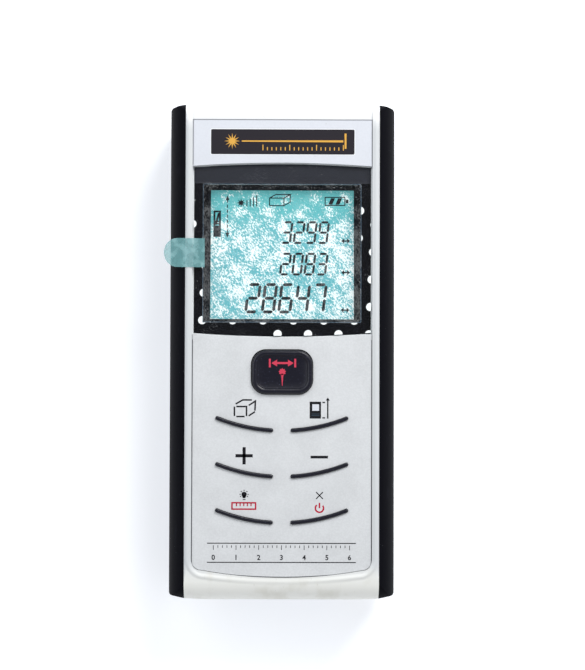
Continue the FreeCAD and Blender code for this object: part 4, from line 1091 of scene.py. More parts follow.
@dataclass(frozen=True)
class Palette:
    """Every finish, each made once."""

    shell: Finish = WhiteShell()
    grip: Finish = GripRubber()
    badge: Finish = PanelPrint("badge_print", shade(203, 206, 214), 0.05)
    panel: Finish = PanelPrint("panel_print", shade(204, 206, 209), 0.12)
    strip: Finish = PanelPrint("window_strip", shade(30, 32, 42), 0.3)
    key: Finish = KeyRubber()
    black_ink: Finish = Ink("black_ink", shade(20, 20, 26))
    plate_ink: Finish = Ink("plate_ink", shade(36, 33, 40), 0.4)
    amber_ink: Finish = Ink("amber_ink", shade(216, 164, 72))
    red_ink: Finish = Ink("red_ink", shade(178, 20, 52))
    pink_ink: Finish = Ink("pink_ink", shade(203, 62, 86))
    # Painted shadow lines laid as ink: a dark one along the key panel's edge, a pale one round the badge
    # zone.
    seam: Finish = Ink("seam_shadow", shade(92, 94, 100))
    pale_seam: Finish = Ink("pale_seam", shade(168, 171, 180))
    # A painted highlight: the pale rim round the badge plate.
    white_ink: Finish = Ink("white_ink", shade(240, 242, 246))
    segment: Finish = Ink("display_segment", shade(6, 16, 26), 0.4)
    mask: Finish = Plain("window_mask", shade(10, 10, 16), 0.25, spread=0.3, depth=0.001, gloss=0.1)
    rim: Finish = Plain("display_rim", shade(9, 15, 26), 0.35, spread=0.25, grain=0.12, gloss=0.2)
    # A painted highlight along the display opening's edge; its tone also inks the icon's two small lines.
    edge: Finish = Plain("mask_edge_highlight", shade(62, 80, 96), 0.35, spread=0.3, gloss=0.2)
    film: Finish = ProtectiveFilm((OPENING[0] + 0.02, 6.35), (OPENING[2] - 0.02, 37.25))
    tab: Finish = TabFilm()
    pane: Finish = ClearPane()
    display: Finish = LitDisplay()
    lens: Finish = CoatedGlass("lens_glass", shade(54, 74, 112))
    filter: Finish = CoatedGlass("filter_glass", shade(150, 30, 44))
    board: Finish = CircuitBoard()
    plastic: Finish = Plain("black_plastic", shade(26, 26, 31), 0.42, spread=0.2, gloss=0.35)
    cover: Finish = Plain("cover_plastic", shade(222, 224, 226), 0.42, spread=0.06, grain=0.25)
    mat: Finish = Plain("mat_rubber", shade(58, 60, 64), 0.6, spread=0.2)
    guide: Finish = Plain("light_guide", shade(214, 236, 232), 0.2, spread=0.08)
    zebra: Finish = Plain("zebra_rubber", shade(150, 92, 98), 0.7, spread=0.35, grain=0.2)
    foam: Finish = Plain("grey_foam", shade(66, 68, 72), 0.9, spread=0.4, grain=0.5, depth=0.05)
    brass: Finish = Plain("brass_tube", shade(206, 168, 96), 0.28, 1.0, spread=0.2)
    can: Finish = Plain("tinned_can", shade(196, 198, 200), 0.34, 1.0, spread=0.15)
    contact: Finish = Plain("plated_contact", shade(214, 212, 204), 0.22, 1.0, spread=0.2)
    steel: Finish = Plain("dark_screw_steel", shade(112, 112, 116), 0.34, 1.0, spread=0.3)
    flex: Finish = Plain("flex_film", shade(196, 120, 42), 0.3, spread=0.25)
    resin: Finish = Plain("chip_resin", shade(28, 28, 30), 0.55, spread=0.3)
    sleeve: Finish = Plain("cell_sleeve", shade(40, 88, 132), 0.25, spread=0.25, coat=0.4)
    label: Finish = PanelPrint("label_sheet", shade(214, 216, 218), 0.05)


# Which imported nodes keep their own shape, by finish.
KEPT = {
    "shell": ["front_shell", "rear_shell"],
    "grip": ["left_grip", "right_grip"],
    "badge": ["badge_panel"],
    "panel": ["key_panel"],
    "pane": ["display_window"],
    "display": ["lcd_glass"],
    "plastic": ["lcd_frame", "optics_bezel", "optics_block", "buzzer"],
    "guide": ["backlight"],
    "zebra": ["zebra_strip"],
    "foam": ["lcd_gasket", "cover_pad"],
    "mat": ["keypad_mat"],
    "board": ["main_board", "optics_board"],
    "lens": ["exit_window", "receiver_lens", "collimator_lens"],
    "filter": ["receiver_filter"],
    "brass": ["laser_barrel"],
    "can": ["laser_diode", "photodiode", "shield_can"],
    "contact": ["tail_contact", "nose_contact_left", "nose_contact_right", "contact_spring_left",
                "contact_spring_right"],
    "steel": [f"{kind}_screw_{number}" for kind, count in (("shell", 4), ("board", 4), ("optics", 2))
              for number in range(1, count + 1)],
    "flex": ["flex_cable"],
    "resin": ["flex_connector", "processor"],
    "sleeve": ["battery_left", "battery_right"],
    "cover": ["battery_cover"],
    "label": ["rear_label"],
}


def dress_kept(palette: Palette) -> None:
    """Give every kept node its finish.

    Args:
        palette: the finishes.
    """
    for finish, nodes in KEPT.items():
        for node in nodes:
            cover(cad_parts[node], getattr(palette, finish))
    log.info("kept nodes dressed")


# ---------------------------------------------------------------- face prints


def icon_lines(centre: Point, lines: Sequence[Sequence[Point]], width: float) -> list[Array]:
    """Turn polylines about a place into strips of one width."""
    return [stroke(np.array(line, float) + centre, width) for line in lines]


def dashed(start: Point, end: Point, dashes: int, share: float = 0.62) -> list[list[Point]]:
    """Cut a straight line into equal dashes.

    Args:
        start: where it starts.
        end: where it ends.
        dashes: how many there are.
        share: how much of its step each one fills.

    Returns:
        Each dash's two ends.
    """
    first, last = np.array(start, float), np.array(end, float)
    cuts = (np.arange(dashes)[:, None] + np.array([0.0, share])) / (dashes - 1 + share)
    return [[tuple(first + (last - first) * cut) for cut in pair] for pair in cuts]


def starburst(centre: Point, inner: float, outer: float, rays: int) -> Array:
    """Give a star: a closed line whose radius steps between inner and outer, two points a ray.

    Args:
        centre: its middle.
        inner: the radius between rays.
        outer: the radius at the rays' tips.
        rays: how many rays there are.

    Returns:
        The points.
    """
    turn = np.arange(rays * 2) * math.pi / rays
    reach = np.where(np.arange(rays * 2) % 2 == 0, outer, inner)
    return np.column_stack([centre[0] + reach * np.sin(turn), centre[1] + reach * np.cos(turn)])


@dataclass
class FacePrint:
    """What is printed on the badge plate and on the key panel."""

    plate_middle: Point = (0.0, 46.5)
    plate_half: Point = (15.9, 2.78)
    plate_border: float = 0.14
    plate_rise: float = 0.03
    zone_foot: float = 41.4
    rule_lines: Point = (-42.25, -46.45)
    rule_half: float = 16.4
    rule_start: float = -15.0
    panel_corner: float = 2.2
    panel_head: float = 2.6
    seam_gap: float = 0.05
    seam_rise: float = 0.008
    palette: Palette = field(default_factory=Palette)

    def badge(self) -> None:
        """Lay a dark plate with a painted pale halo round it, an amber beam, its starburst and a ruler's
        ticks.
        """
        x, y = self.plate_middle
        grown = (self.plate_half[0] + self.plate_border, self.plate_half[1] + self.plate_border)
        edge = rounded_box((x, y), grown, 0.35)
        # Painted highlight: a thin pale rim laid round the plate's edge.
        settle(loft("badge_plate_halo", raised(edge, [(0, FACE), (0, FACE + 0.01)])),
               self.palette.white_ink)
        plate = rounded_box((x, y), self.plate_half, 0.28)
        top = FACE + self.plate_rise
        settle(loft("badge_plate", raised(plate, [(0, FACE), (0, top)])), self.palette.plate_ink)
        shapes = [starburst((-11.2, y + 0.15), 0.62, 1.75, 12)]
        shapes.append(np.array([(-9.1, y + 0.01), (13.4, y - 0.08), (13.4, y + 0.38), (-9.1, y + 0.29)]))
        for tick in range(19):
            height = 1.25 if tick % 6 == 0 else 0.72
            spot = -4.4 + tick * 0.99
            shapes.append(stroke([(spot, y - 1.9), (spot, y - 1.9 + height)], 0.2))
        shapes.append(stroke([(13.9, y - 1.5), (13.9, y + 1.9)], 0.42))
        settle(print_shapes("badge_graphic", shapes, top, INK), self.palette.amber_ink)

    def rule(self) -> None:
        """Print two hairlines with a scale of ticks and numbers between them."""
        low, high = self.rule_lines[1], self.rule_lines[0]
        shapes = [stroke([(-self.rule_half, level), (self.rule_half, level + 0.03)], 0.2)
                  for level in (low, high)]
        for tick in range(31):
            height = 1.0 if tick % 5 == 0 else 0.55
            spot = self.rule_start + tick
            shapes.append(stroke([(spot, high - 0.45), (spot, high - 0.45 - height)], 0.14))
        parts = [print_shapes("rule_lines", shapes, FACE, INK)]
        for number in range(7):
            spot = (self.rule_start + number * 5, low + 1.1)
            parts.append(lettering(f"rule_number_{number}", str(number), spot, 1.15, FACE, 0.02, INK))
        settle(join("rule_scale", parts), self.palette.black_ink)

    def seams(self) -> None:
        """Draw the thin shadow line at the edge of the key panel and of the badge zone.

        Along the tail the panel's Y is a parabola of X.
        """
        low, high = node_box("key_panel")
        half, corner = high[0] - self.seam_gap, self.panel_corner
        x = np.linspace(-half + corner, half - corner, 31)
        tail = np.column_stack([x, low[1] + 0.06 + 1.6 * (x / half) ** 2])
        rise = tail[0, 1] + corner - 0.35
        turn = arc_points((-half + corner, rise), corner, math.pi, 1.5 * math.pi - 0.25, 9)
        left = np.vstack([[(-half, self.panel_head)], turn])
        line = np.vstack([left, tail, left[::-1] * [-1, 1]])
        high = node_box("badge_panel")[1]
        side, top = high[0] - self.seam_gap, high[1] - self.seam_gap
        zone = [(-side, self.zone_foot), (-side, top), (side, top), (side, self.zone_foot)]
        settle(print_shapes("panel_seam", [stroke(line, 0.13)], FACE, self.seam_rise), self.palette.seam)
        settle(print_shapes("badge_seam", [stroke(zone, 0.12)], FACE, self.seam_rise), self.palette.pale_seam)

    def icons(self) -> None:
        """Print each key's sign above its rib: volume, reference edge, plus, minus, lamp and a cross.

        Under the lamp is a ruler, and under the cross a power sign.
        """
        shapes = self.volume_shapes() + self.reference_shapes() + self.lamp_shapes((-8.27, -31.5))
        shapes.append(stroke([(-10.2, -23.0), (-6.4, -23.0)], 0.7))
        shapes.append(stroke([(-8.3, -24.9), (-8.3, -21.1)], 0.7))
        shapes.append(stroke([(6.35, -23.25), (10.2, -23.25)], 0.58))
        shapes += [stroke([(7.6, -31.7 - slope), (9.1, -31.7 + slope)], 0.22) for slope in (-0.75, 0.75)]
        settle(print_shapes("key_icons", shapes, FACE, INK), self.palette.black_ink)
        screen = np.array([(6.7, -13.04), (8.2, -13.04), (8.2, -11.61), (6.7, -11.61)])
        settle(print_shapes("icon_screen", [screen], FACE + INK, 0.01), self.palette.badge)
        dots = [stroke([(6.55, level), (8.3, level)], 0.1) for level in (-13.75, -14.1)]
        settle(print_shapes("icon_text", dots, FACE + INK, 0.01), self.palette.edge)
        ruler = [(-2.75, -0.7), (2.6, -0.7), (2.6, 0.7), (-2.6, 0.7), (-2.6, -0.7)]
        signs = icon_lines((-8.33, -34.05), [ruler], 0.32)
        signs += [stroke([(-8.33 + step, -33.4), (-8.33 + step, -34.1)], 0.26)
                  for step in (-1.6, -0.8, 0.0, 0.8, 1.6)]
        ring = arc_points((8.35, -34.5), 0.9, math.radians(130), math.radians(410), 24)
        signs += [stroke(ring, 0.34), stroke([(8.35, -34.5), (8.35, -33.3)], 0.34)]
        settle(print_shapes("key_signs", signs, FACE, INK), self.palette.red_ink)

    def volume_shapes(self) -> list[Array]:
        """Give a box in oblique view: four loose strokes in front, bent strokes behind.

        Returns:
            The outlines.
        """
        left, right, low, high = -10.48, -7.81, -14.36, -12.16
        lines = [[(left, low + 0.1), (left, high)], [(left + 0.42, high), (right + 0.18, high)],
                 [(right, high), (right, low + 0.1)], [(left + 0.42, low), (right - 0.42, low)],
                 [(-10.2, -11.6), (-8.65, -10.7), (-6.64, -10.7)],
                 [(-7.33, -11.9), (-5.86, -10.95), (-5.95, -13.05)], [(-7.33, -14.2), (-5.95, -13.3)]]
        return [stroke(line, 0.34) for line in lines]

    def reference_shapes(self) -> list[Array]:
        """Give a solid little meter, two ledge ticks and an arrow that points to the nose.

        Returns:
            The outlines.
        """
        shapes = [np.array([(6.13, -14.76), (8.62, -14.76), (8.62, -11.04), (6.13, -11.04)])]
        shapes += [stroke([(8.94, level), (9.52, level)], 0.28) for level in (-11.2, -14.6)]
        shapes.append(stroke([(10.12, -14.76), (10.12, -10.7)], 0.3))
        shapes.append(np.array([(10.12, -10.08), (9.68, -10.78), (10.56, -10.78)]))
        return shapes

    def lamp_shapes(self, centre: Point) -> list[Array]:
        """Give a bulb: a disc that narrows to its neck, a base bar and seven dots of light.

        Args:
            centre: the disc's middle.

        Returns:
            The outlines.
        """
        x, y = centre
        shapes = [arc_points((x, y), 0.58, 0, 2 * math.pi, 20)]
        neck = [(x - 0.5, y - 0.2), (x - 0.27, y - 0.84), (x + 0.27, y - 0.84), (x + 0.5, y - 0.2)]
        shapes.append(np.array(neck))
        shapes.append(stroke([(x - 0.3, y - 1.16), (x + 0.3, y - 1.16)], 0.18))
        for turn in np.radians((-32, 0, 45, 90, 135, 180, 212)):
            spot = (x + 0.88 * math.cos(turn), y + 0.88 * math.sin(turn))
            shapes.append(arc_points(spot, 0.13, 0, 2 * math.pi, 8))
        return shapes

    def build(self) -> None:
        """Print everything on the face."""
        self.badge()
        self.rule()
        self.seams()
        self.icons()


# ---------------------------------------------------------------- keys


@dataclass
class MeasureKey:
    """The round-cornered key that fires the beam, with its raised rim and shallow dish."""

    middle: Point = (0.03, -4.56)
    half: Point = (6.72, 4.81)
    corner: float = 3.2
    skirt: float = 0.9
    foot: float = 24.0
    edge: float = 0.55
    dish: tuple[Point, ...] = ((0.8, 0.02), (1.05, 0.09), (1.14, 0.16), (1.3, 0.38), (1.5, 0.44),
                               (3.0, 0.45))
    sign: Point = (0.1, -2.55)
    palette: Palette = field(default_factory=Palette)

    def build(self) -> None:
        """Carry the rim's profile round the key, then print a span arrow and a beam in the dish."""
        top = node_box("measure_button")[1][2]
        outline = rounded_box(self.middle, self.half, self.corner, 12)
        grown = (self.half[0] + self.skirt, self.half[1] + self.skirt)
        skirt = rounded_box(self.middle, grown, self.corner + self.skirt, 12)
        low, high = SKIRT
        levels = ([(0, self.foot)] + rounding(0, top, self.edge, 6)
                  + [(inset, top - drop) for inset, drop in self.dish])
        rings = raised(skirt, [(self.skirt, low), (0, low), (0, high), (self.skirt, high)])
        rings += raised(outline, levels)
        stem = raised(disc(self.middle, STEM_RADIUS, len(rings[0])), [(0, STEM_FOOT), (0, low - 0.05)])
        settle(loft("measure_key", stem + rings), self.palette.key, Body.MEASURE.value,
               ["measure_button"])
        x, y = self.sign
        shapes = [stroke([(x + end, y - 0.95), (x + end, y + 0.95)], 0.42) for end in (-2.8, 2.8)]
        shapes.append(stroke([(x - 1.2, y), (x + 1.2, y)], 0.46))
        shapes += [np.array([(x + way * 2.45, y), (x + way * 1.2, y - 0.75), (x + way * 1.2, y + 0.75)])
                   for way in (-1, 1)]
        shapes.append(starburst((0.06, -4.5), 0.6, 0.86, 9))
        shapes.append(np.array([(-0.2, -4.9), (0.01, -7.6), (0.11, -7.6), (0.32, -4.9)]))
        floor = top - self.dish[-2][1]
        settle(print_shapes("measure_print", shapes, floor, 2 * INK), self.palette.pink_ink,
               Body.MEASURE.value)


@dataclass
class RibKeys:
    """The six function keys, of which only a thin curved rib stands above the panel."""

    radius: float = 38.6
    first_row: float = -17.45
    pitch: float = 10.15
    ends: Point = (2.35, 14.25)
    half: float = 0.41
    hole: float = 0.61
    stem: float = 8.3
    skirt: float = 0.5
    foot: float = 24.2
    edge: float = 0.3
    lip: Point = (25.7, 25.99)
    names: tuple[tuple[str, str], ...] = (("volume", "reference"), ("plus", "minus"), ("unit", "off"))
    palette: Palette = field(default_factory=Palette)

    def build(self) -> None:
        """Make each key of each row: a round-topped profile carried round the rib, down to its skirt."""
        for row, pair in enumerate(self.names):
            for side, name in zip((-1, 1), pair):
                self.key(name, side, self.first_row - row * self.pitch + self.radius)

    def key(self, name: str, side: int, centre: float) -> None:
        """Make one key and the panel's lip round its rib.

        Args:
            name: the key's name.
            side: -1 for the left column, 1 for the right.
            centre: Y of its arc's centre.
        """
        ends = tuple(sorted((side * self.ends[0], side * self.ends[1])))
        top = node_box(name + "_key")[1][2]
        rib = smile_bar(centre, self.radius, ends, self.half)
        wide = smile_bar(centre, self.radius, ends, self.half + self.skirt)
        low, high = SKIRT
        rings = raised(wide, [(self.skirt - 0.1, low), (0, low), (0, high)])
        rings += raised(rib, [(0, self.foot)] + rounding(0, top, self.edge, 5))
        foot = (side * self.stem, centre - math.sqrt(self.radius ** 2 - self.stem ** 2))
        stem = loft(name + "_stem", raised(disc(foot, STEM_RADIUS), [(0, STEM_FOOT), (0, low + 0.05)]))
        settle(join(name + "_rib", [loft(name + "_rib", rings), stem]), self.palette.key,
               f"{name}_key_body", [name + "_key"])
        reach = self.hole - self.half
        base, rim = self.lip
        lip = [np.column_stack([rib(-grow), np.full(len(rib(0)), level)])
               for grow, level in ((0.05, base), (reach, base), (reach, rim), (0.05, rim))]
        settle(loft(name + "_lip", lip, closed=True), self.palette.panel)


# ---------------------------------------------------------------- housing


@dataclass
class RimRidge:
    """The soft ridge along both rails and round the panel's two tail corners."""

    middle: float = 20.72
    half: float = 0.8
    height: float = 0.26
    nose: float = 54.3
    corner: float = 3.9
    tail: float = -50.75
    bow: float = 1.6
    bow_reach: float = 19.83
    rail_top: float = 26.4
    side_round: Point = (21.05, 0.45)
    tail_round: Point = (49.0, 6.0)
    nose_round: Point = (52.0, 3.0)
    nose_fade: float = 2.5
    tail_from: float = -44.0
    tail_share: float = 0.45
    tail_fade: Point = (5.0, 13.0)
    sunk: float = 0.01
    wall: float = 0.15
    palette: Palette = field(default_factory=Palette)

    def rounded(self, place: Array, start: float, radius: float) -> Array:
        """Give a rounding's height: the top less r, plus the root of r squared less the way in squared.

        Args:
            place: places along an axis.
            start: where on it the rounding begins.
            radius: its radius r.

        Returns:
            Z at those places.
        """
        into = np.clip(place - start, 0, radius)
        return self.rail_top - radius + np.sqrt(np.clip(radius ** 2 - into ** 2, 0, None))

    def surface(self, x: Array, y: Array) -> Array:
        """Give the shell's own height: the lowest of its roundings at the sides, tail and nose.

        Args:
            x: places across.
            y: places along.

        Returns:
            Z at those places.
        """
        side = self.rounded(np.abs(x), *self.side_round)
        return np.minimum(np.minimum(side, self.rounded(-y, *self.tail_round)),
                          self.rounded(y, *self.nose_round))

    def path(self) -> Array:
        """Give the ridge's middle line: down the left rail, round a corner, along the tail and back.

        Returns:
            The points; along the tail Y is a parabola of X.
        """
        rise = self.tail + self.bow * ((self.middle - self.corner) / self.bow_reach) ** 2
        down = np.column_stack([np.full(60, -self.middle), np.linspace(self.nose, rise + self.corner, 60)])
        turn = arc_points((-self.middle + self.corner, rise + self.corner), self.corner, math.pi,
                          1.5 * math.pi - 0.09, 14)
        x = np.linspace(-self.middle + self.corner, 0, 30)
        along = np.column_stack([x, self.tail + self.bow * (x / self.bow_reach) ** 2])
        half = np.concatenate([down, turn[1:], along])
        return np.concatenate([half, half[-2::-1] * [-1, 1]])

    def build(self) -> None:
        """Carry a raised-cosine profile along the path; its height fades at the nose and mid tail."""
        path = self.path()
        ahead = np.gradient(path, axis=0)
        ahead /= np.linalg.norm(ahead, axis=1)[:, None]
        side = np.column_stack([-ahead[:, 1], ahead[:, 0]])
        from_middle = np.clip((np.abs(path[:, 0]) - self.tail_fade[0]) / self.tail_fade[1], 0, 1)
        on_tail = path[:, 1] < self.tail_from
        fade = np.clip((self.nose - path[:, 1]) / self.nose_fade, 0, 1)
        fade *= np.where(on_tail, self.tail_share + (1 - self.tail_share) * from_middle, 1)
        across = np.linspace(-1, 1, 11)
        crown = 0.5 + 0.5 * np.cos(math.pi * across)
        flat = path[:, None] + side[:, None] * across[:, None] * self.half
        z = self.surface(flat[..., 0], flat[..., 1]) + self.height * fade[:, None] * crown - self.sunk
        top = np.concatenate([flat, z[..., None]], axis=2)
        below = top[:, [-1, 0]] - [0, 0, self.wall]
        settle(loft("rim_ridge", np.concatenate([top, below], axis=1)), self.palette.shell)


@dataclass
class RearLabel:
    """Plain rules and a table grid on the label under the meter, with no words."""

    margin: float = 1.6
    palette: Palette = field(default_factory=Palette)

    def build(self) -> None:
        """Print on the label's lower face, so each slab hangs below it."""
        low, high = node_box("rear_label")
        left, right = low[0] + self.margin, high[0] - self.margin
        lines = [stroke([(left, y), (right - inset, y)], 0.22)
                 for y, inset in ((37.6, 0), (35.6, 5), (33.6, 9), (12.4, 0), (8.6, 0))]
        lines += [stroke([(left, y), (right, y)], 0.3) for y in (30.6, 16.4)]
        lines += [stroke([(x, 16.4), (x, 30.6)], 0.22) for x in (left + 0.1, -4.4, 4.4, right - 0.1)]
        lines += [stroke([(left, y), (right, y)], 0.18) for y in (27.0, 23.4, 19.8)]
        settle(print_shapes("label_rules", lines, low[2] - INK, INK), self.palette.black_ink)


# ---------------------------------------------------------------- display


@dataclass
class Display:
    """What shows through the window: the mask, the lit area's signs and the film on top."""

    glass_middle: Point = (0.0, 21.8)
    glass_half: Point = (17.95, 16.9)
    window_half: float = 19.6
    window_bow: float = 0.75
    window_gap: float = 0.12
    lit: tuple[float, float, float, float] = (-17.05, 7.35, 16.85, 36.1)
    slant: float = 0.12
    film_level: float = 26.01
    film_thickness: float = 0.06
    tab_y: float = 21.8
    tab_half: float = 3.2
    tab_start: float = -17.2
    tab_length: float = 9.0
    tab_tip: float = 3.0
    rail_edge: float = -18.75
    tab_lift: float = 0.62
    palette: Palette = field(default_factory=Palette)

    def ring(self, name: str, outer: Array, hole: Array, base: float, thickness: float) -> bpy.types.Object:
        """Make a flat ring between two closed lines.

        Args:
            name: the piece's name.
            outer: the outer line.
            hole: the inner line, resampled to the outer line's bearings.
            base: Z of its underside.
            thickness: its thickness.

        Returns:
            The ring.
        """
        inner = self.match(hole, outer)
        lines = [np.column_stack([flat, np.full(len(flat), level)])
                 for flat, level in ((inner, base), (outer, base), (outer, base + thickness),
                                     (inner, base + thickness))]
        return loft(name, lines, closed=True, smooth=False)

    def mask(self) -> None:
        """Print the window's black border and its grey strip, lay a painted highlight along the opening's
        edge, and edge the display with a dark rim.

        The strip's nose edge is the window's own parabola.
        """
        low, high = node_box("display_window")
        base = low[2] + 0.01
        hole = self.box_outline(OPENING, 0.35)
        line = self.box_outline(OPENING, 0.35, 0.16)
        lit = self.box_outline(self.lit, 0.2)
        top = high[1] - self.window_gap
        around = bowed_box(self.window_half, low[1] + self.window_gap, top, (self.window_bow,) * 2, 25)(0)
        settle(self.ring("window_mask", around, hole, base, 0.04), self.palette.mask)
        # Painted highlight: a thin pale ring along the opening's edge.
        settle(self.ring("mask_edge_highlight", hole, line, base, 0.05), self.palette.edge)
        wide = rounded_box(self.glass_middle, self.glass_half, 0.2, 8)(0)
        settle(self.ring("display_rim", wide, lit, GLASS_TOP, 0.05), self.palette.rim)
        x = np.linspace(-self.window_half, self.window_half, 25)
        upper = np.column_stack([x[::-1], top - self.window_bow * (x[::-1] / self.window_half) ** 2])
        lower = np.column_stack([x, np.full(25, OPENING[3] + 0.05)])
        settle(print_shapes("window_strip", [np.concatenate([lower, upper])], base + 0.05, 0.02),
               self.palette.strip)

    def box_outline(self, sides: tuple[float, float, float, float], corner: float,
                    inset: float = 0.0) -> Array:
        """Give a round-cornered rectangle.

        Args:
            sides: its left, low, right and high sides.
            corner: its corner radius.
            inset: how far the line is moved inward.

        Returns:
            The points.
        """
        left, low, right, high = sides
        return rounded_box(((left + right) / 2, (low + high) / 2), ((right - left) / 2, (high - low) / 2),
                           corner, 8)(inset)

    def match(self, inner: Array, outer: Array) -> Array:
        """Resample a closed line so that its points lie on the same bearings as another line's points.

        Args:
            inner: the line to resample.
            outer: the other line.

        Returns:
            As many points as the other line has.
        """
        middle = np.array(self.glass_middle)
        spread = inner - middle
        bearing = np.unwrap(np.arctan2(spread[:, 1], spread[:, 0]))
        wanted = np.arctan2(*(outer - middle).T[::-1])
        wanted = (wanted - bearing[0]) % (2 * math.pi) + bearing[0]
        closed = np.append(bearing, bearing[0] + 2 * math.pi)
        loop = np.vstack([inner, inner[:1]])
        return np.column_stack([np.interp(wanted, closed, loop[:, axis]) for axis in (0, 1)])

    def digits(self, text: str, left: float, base: float, height: float, pitch: float,
               width: float, weight: float) -> list[Array]:
        """Draw seven-segment digits.

        Args:
            text: the digits.
            left: X of the first one's lower left corner.
            base: Y of their foot.
            height: their height.
            pitch: from one to the next.
            width: one digit's width.
            weight: the segments' width.

        Returns:
            Outlines: each segment is a bar with pointed ends, and X leans by the slant times Y.
        """
        segments = {"a": (0, 2, 1, 2), "b": (1, 1, 1, 2), "c": (1, 0, 1, 1), "d": (0, 0, 1, 0),
                    "e": (0, 0, 0, 1), "f": (0, 1, 0, 2), "g": (0, 1, 1, 1)}
        lit = {"0": "abcdef", "2": "abged", "3": "abgcd", "4": "fgbc", "6": "afgedc", "7": "abc",
               "8": "abcdefg", "9": "abcdfg"}
        shapes = []
        for place, digit in enumerate(text):
            for name in lit[digit]:
                x0, y0, x1, y1 = segments[name]
                start = np.array([x0 * width, y0 * height / 2])
                end = np.array([x1 * width, y1 * height / 2])
                along = (end - start) / np.linalg.norm(end - start)
                side = np.array([-along[1], along[0]]) * weight / 2
                tip, nick = along * weight * 0.22, along * weight * 0.66
                bar = np.array([start + tip, start + nick - side, end - nick - side, end - tip,
                                end - nick + side, start + nick + side])
                bar[:, 0] += bar[:, 1] * self.slant + left + place * pitch
                bar[:, 1] += base
                shapes.append(bar)
        return shapes

    def readout(self) -> None:
        """Lay the three readings, a small double arrow by each and the signs on the glass."""
        shapes = self.digits("3299", -0.2, 24.4, 4.6, 2.72, 1.85, 0.5)
        shapes += self.digits("2083", -0.5, 17.35, 4.6, 2.72, 1.85, 0.5)
        shapes += self.digits("28647", -8.15, 8.95, 6.1, 3.68, 2.5, 0.66)
        for step, height in enumerate((1.4, 1.75, 2.1, 2.5)):
            spot = -7.95 + step * 0.72
            shapes.append(stroke([(spot, 32.5), (spot, 32.5 + height)], 0.22))
        shapes.append(starburst((-9.25, 33.3), 0.42, 1.02, 8))
        box = [[(-2.3, -1.1), (0.9, -1.1), (0.9, 0.6), (-2.3, 0.6), (-2.3, -1.1)],
               [(-2.3, 0.6), (-0.9, 1.4), (2.3, 1.4), (0.9, 0.6)], [(2.3, 1.4), (2.3, -0.3), (0.9, -1.1)]]
        battery = [[(-2.5, -0.9), (1.9, -0.9), (1.9, 0.9), (-2.5, 0.9), (-2.5, -0.9)]]
        shapes += icon_lines((-0.6, 33.8), box, 0.22) + icon_lines((12.0, 33.7), battery, 0.22)
        shapes.append(stroke([(14.1, 33.7), (14.7, 33.7)], 0.8))
        for spot in (10.2, 11.8):
            cell = [(spot, 33.0), (spot + 0.9, 33.0), (spot + 1.5, 34.4), (spot + 0.6, 34.4)]
            shapes.append(np.array(cell))
        shapes += [stroke(dash, 0.22) for dash in dashed((-12.3, 26.6), (-12.3, 34.0), 7)]
        shapes.append(np.array([(-12.3, 35.0), (-12.75, 33.9), (-11.85, 33.9)]))
        shapes.append(np.array([(-12.3, 25.5), (-11.85, 26.6), (-12.75, 26.6)]))
        for low, high in ((25.7, 28.2), (28.45, 28.75), (29.0, 29.25), (31.15, 31.55)):
            shapes.append(np.array([(-15.4, low), (-13.75, low), (-13.75, high), (-15.4, high)]))
        shapes += [stroke([(x, 28.2), (x, 31.3)], 0.42) for x in (-15.19, -13.96)]
        shapes.append(stroke([(-14.9, 28.4), (-14.2, 31.0)], 0.45))
        for x, y in ((14.1, 24.25), (14.1, 17.2), (14.0, 8.8)):
            heads = [[(x + way * 0.95, y + 0.6), (x + way * 0.35, y), (x + way * 0.35, y + 1.2)]
                     for way in (-1, 1)]
            shapes += list(np.array(heads))
            shapes.append(stroke([(x - 0.35, y + 0.6), (x + 0.35, y + 0.6)], 0.3))
        settle(print_shapes("display_readout", shapes, GLASS_TOP, 0.03), self.palette.segment)

    def film(self) -> None:
        """Lay the protective film on the window, and its tab over the left side.

        The tab's half width is a constant times the root of 1 less the square of the way into its round
        tip, and it rises in a ramp onto the rail.
        """
        sheet = bowed_box(self.window_half - 0.02, 3.5, 37.55, (self.window_bow, 0.0), 25)
        levels = [(0, self.film_level), (0, self.film_level + self.film_thickness)]
        settle(loft("window_film_sheet", raised(sheet, levels), smooth=False), self.palette.film,
               nodes=["window_film"])
        x = self.tab_start - np.linspace(0, 1, 25) * self.tab_length
        tip = np.clip((self.tab_start - self.tab_length + self.tab_tip - x) / self.tab_tip, 0, 1)
        width = self.tab_half * np.sqrt(1 - tip ** 2 * 0.98)
        under = levels[1][1] + 0.01 + np.clip(self.rail_edge - x, 0, 1) * self.tab_lift
        over = under + self.film_thickness
        edges = [(self.tab_y - width, under), (self.tab_y + width, under), (self.tab_y + width, over),
                 (self.tab_y - width, over)]
        rings = list(np.stack([np.column_stack([x, y, z]) for y, z in edges], axis=1))
        settle(loft("film_tab", rings), self.palette.tab)

    def build(self) -> None:
        """Build the mask, the readout and the film."""
        self.mask()
        self.readout()
        self.film()


# ---------------------------------------------------------------- studio


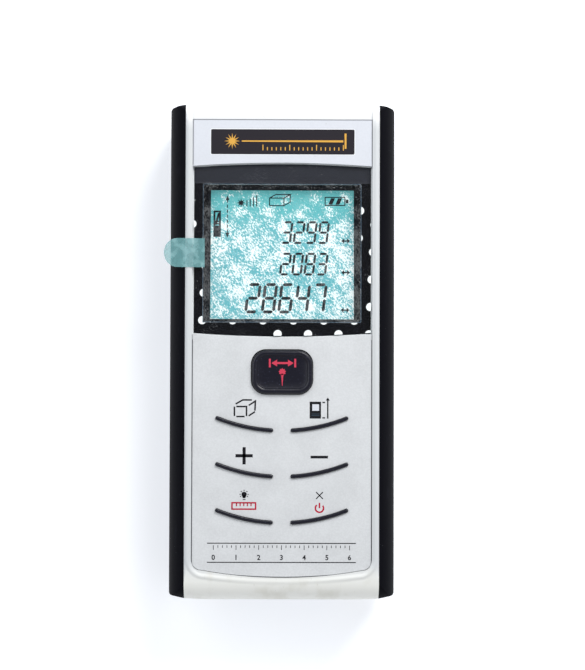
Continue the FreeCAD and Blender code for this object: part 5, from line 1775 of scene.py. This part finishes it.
@dataclass
class Studio:
    """The pale floor, the soft lights and the camera."""

    distance: float = 500.0
    tilt: float = 2.08
    swing: float = -0.344
    target: tuple[float, float, float] = (2.284, 3.674, 26.0)
    roll: float = 0.186
    focal: float = 139.26
    sensor: float = 36.0
    overhead: float = 0.2
    around: float = 0.68
    dome_heights: Point = (0.99, 0.86)
    room_colour: Colour = (0.965, 0.985, 1.0, 1.0)
    floor_reach: float = 9000.0
    floor_drop: float = 0.02

    def floor(self) -> None:
        """Lay a wide floor under the meter."""
        corners = np.array([(-1, -1, 0), (1, -1, 0), (1, 1, 0), (-1, 1, 0)], float) * self.floor_reach
        floor = make_object("floor", corners - [0, 0, self.floor_drop], [[0, 1, 2, 3]], smooth=False)
        cover(floor, StudioFloor())

    def lamp(self, name: str, place: tuple[float, float, float], size: float, power: float,
             colour: tuple[float, float, float]) -> None:
        """Hang a square soft light that faces the meter.

        Args:
            name: its name.
            place: where it hangs, in millimetres.
            size: its side in millimetres.
            power: its power in watts.
            colour: its colour.
        """
        light = bpy.data.lights.new(name, "AREA")
        light.size, light.energy, light.color = size * MM, power, colour
        made = bpy.data.objects.new(name, light)
        made.location = Vector(place) * MM
        made.rotation_euler = (-Vector(place)).to_track_quat("-Z", "Y").to_euler()
        bpy.context.scene.collection.objects.link(made)

    def world(self) -> None:
        """Fill the room with pale light that is weaker straight overhead."""
        world = bpy.data.worlds.new("room")
        world.use_nodes = True
        bench = Bench(world.node_tree)
        direction = bench.node("ShaderNodeTexCoord", {}, out="Generated")
        height = bench.node("ShaderNodeSeparateXYZ", {}, direction, out="Z")
        dome = bench.node("ShaderNodeMapRange", {"interpolation_type": "SMOOTHSTEP"}, height,
                          *self.dome_heights, self.overhead, self.around)
        back = world.node_tree.nodes["Background"]
        bench.feed(back.inputs["Color"], self.room_colour)
        bench.feed(back.inputs["Strength"], dome)
        bpy.context.scene.world = world

    def camera(self) -> None:
        """Set the camera over the face, leaning towards the tail, with Y nearly upright."""
        tilt, roll = math.radians(self.tilt), math.radians(self.roll)
        back = Vector((math.sin(math.radians(self.swing)), -math.sin(tilt), math.cos(tilt))).normalized()
        up = Vector((-math.sin(roll), math.cos(roll), 0.0))
        right = up.cross(back).normalized()
        up = back.cross(right)
        data = bpy.data.cameras.new("camera")
        data.lens, data.sensor_width, data.sensor_fit = self.focal, self.sensor, "HORIZONTAL"
        data.clip_start, data.clip_end = 0.01, 10.0
        made = bpy.data.objects.new("camera", data)
        made.location = (Vector(self.target) + back * self.distance) * MM
        made.rotation_euler = Matrix((right, up, back)).transposed().to_euler()
        bpy.context.scene.collection.objects.link(made)
        bpy.context.scene.camera = made

    def build(self) -> None:
        """Set up the room."""
        self.floor()
        self.world()
        self.lamp("key_light", (190, 330, 380), 240, 2.2, (1.0, 0.99, 0.97))
        self.lamp("fill_light", (-260, 160, 420), 320, 0.6, (0.92, 0.97, 1.0))
        self.camera()
        bpy.context.scene.view_settings.view_transform = "Standard"


def main() -> None:
    """Build the meter piece by piece, then the room."""
    logging.basicConfig(level=logging.INFO, format="%(name)s: %(message)s")
    palette = Palette()
    dress_kept(palette)
    FacePrint(palette=palette).build()
    MeasureKey(palette=palette).build()
    RibKeys(palette=palette).build()
    RimRidge(palette=palette).build()
    RearLabel(palette=palette).build()
    Display(palette=palette).build()
    Studio().build()


if __name__ == "__main__":
    main()
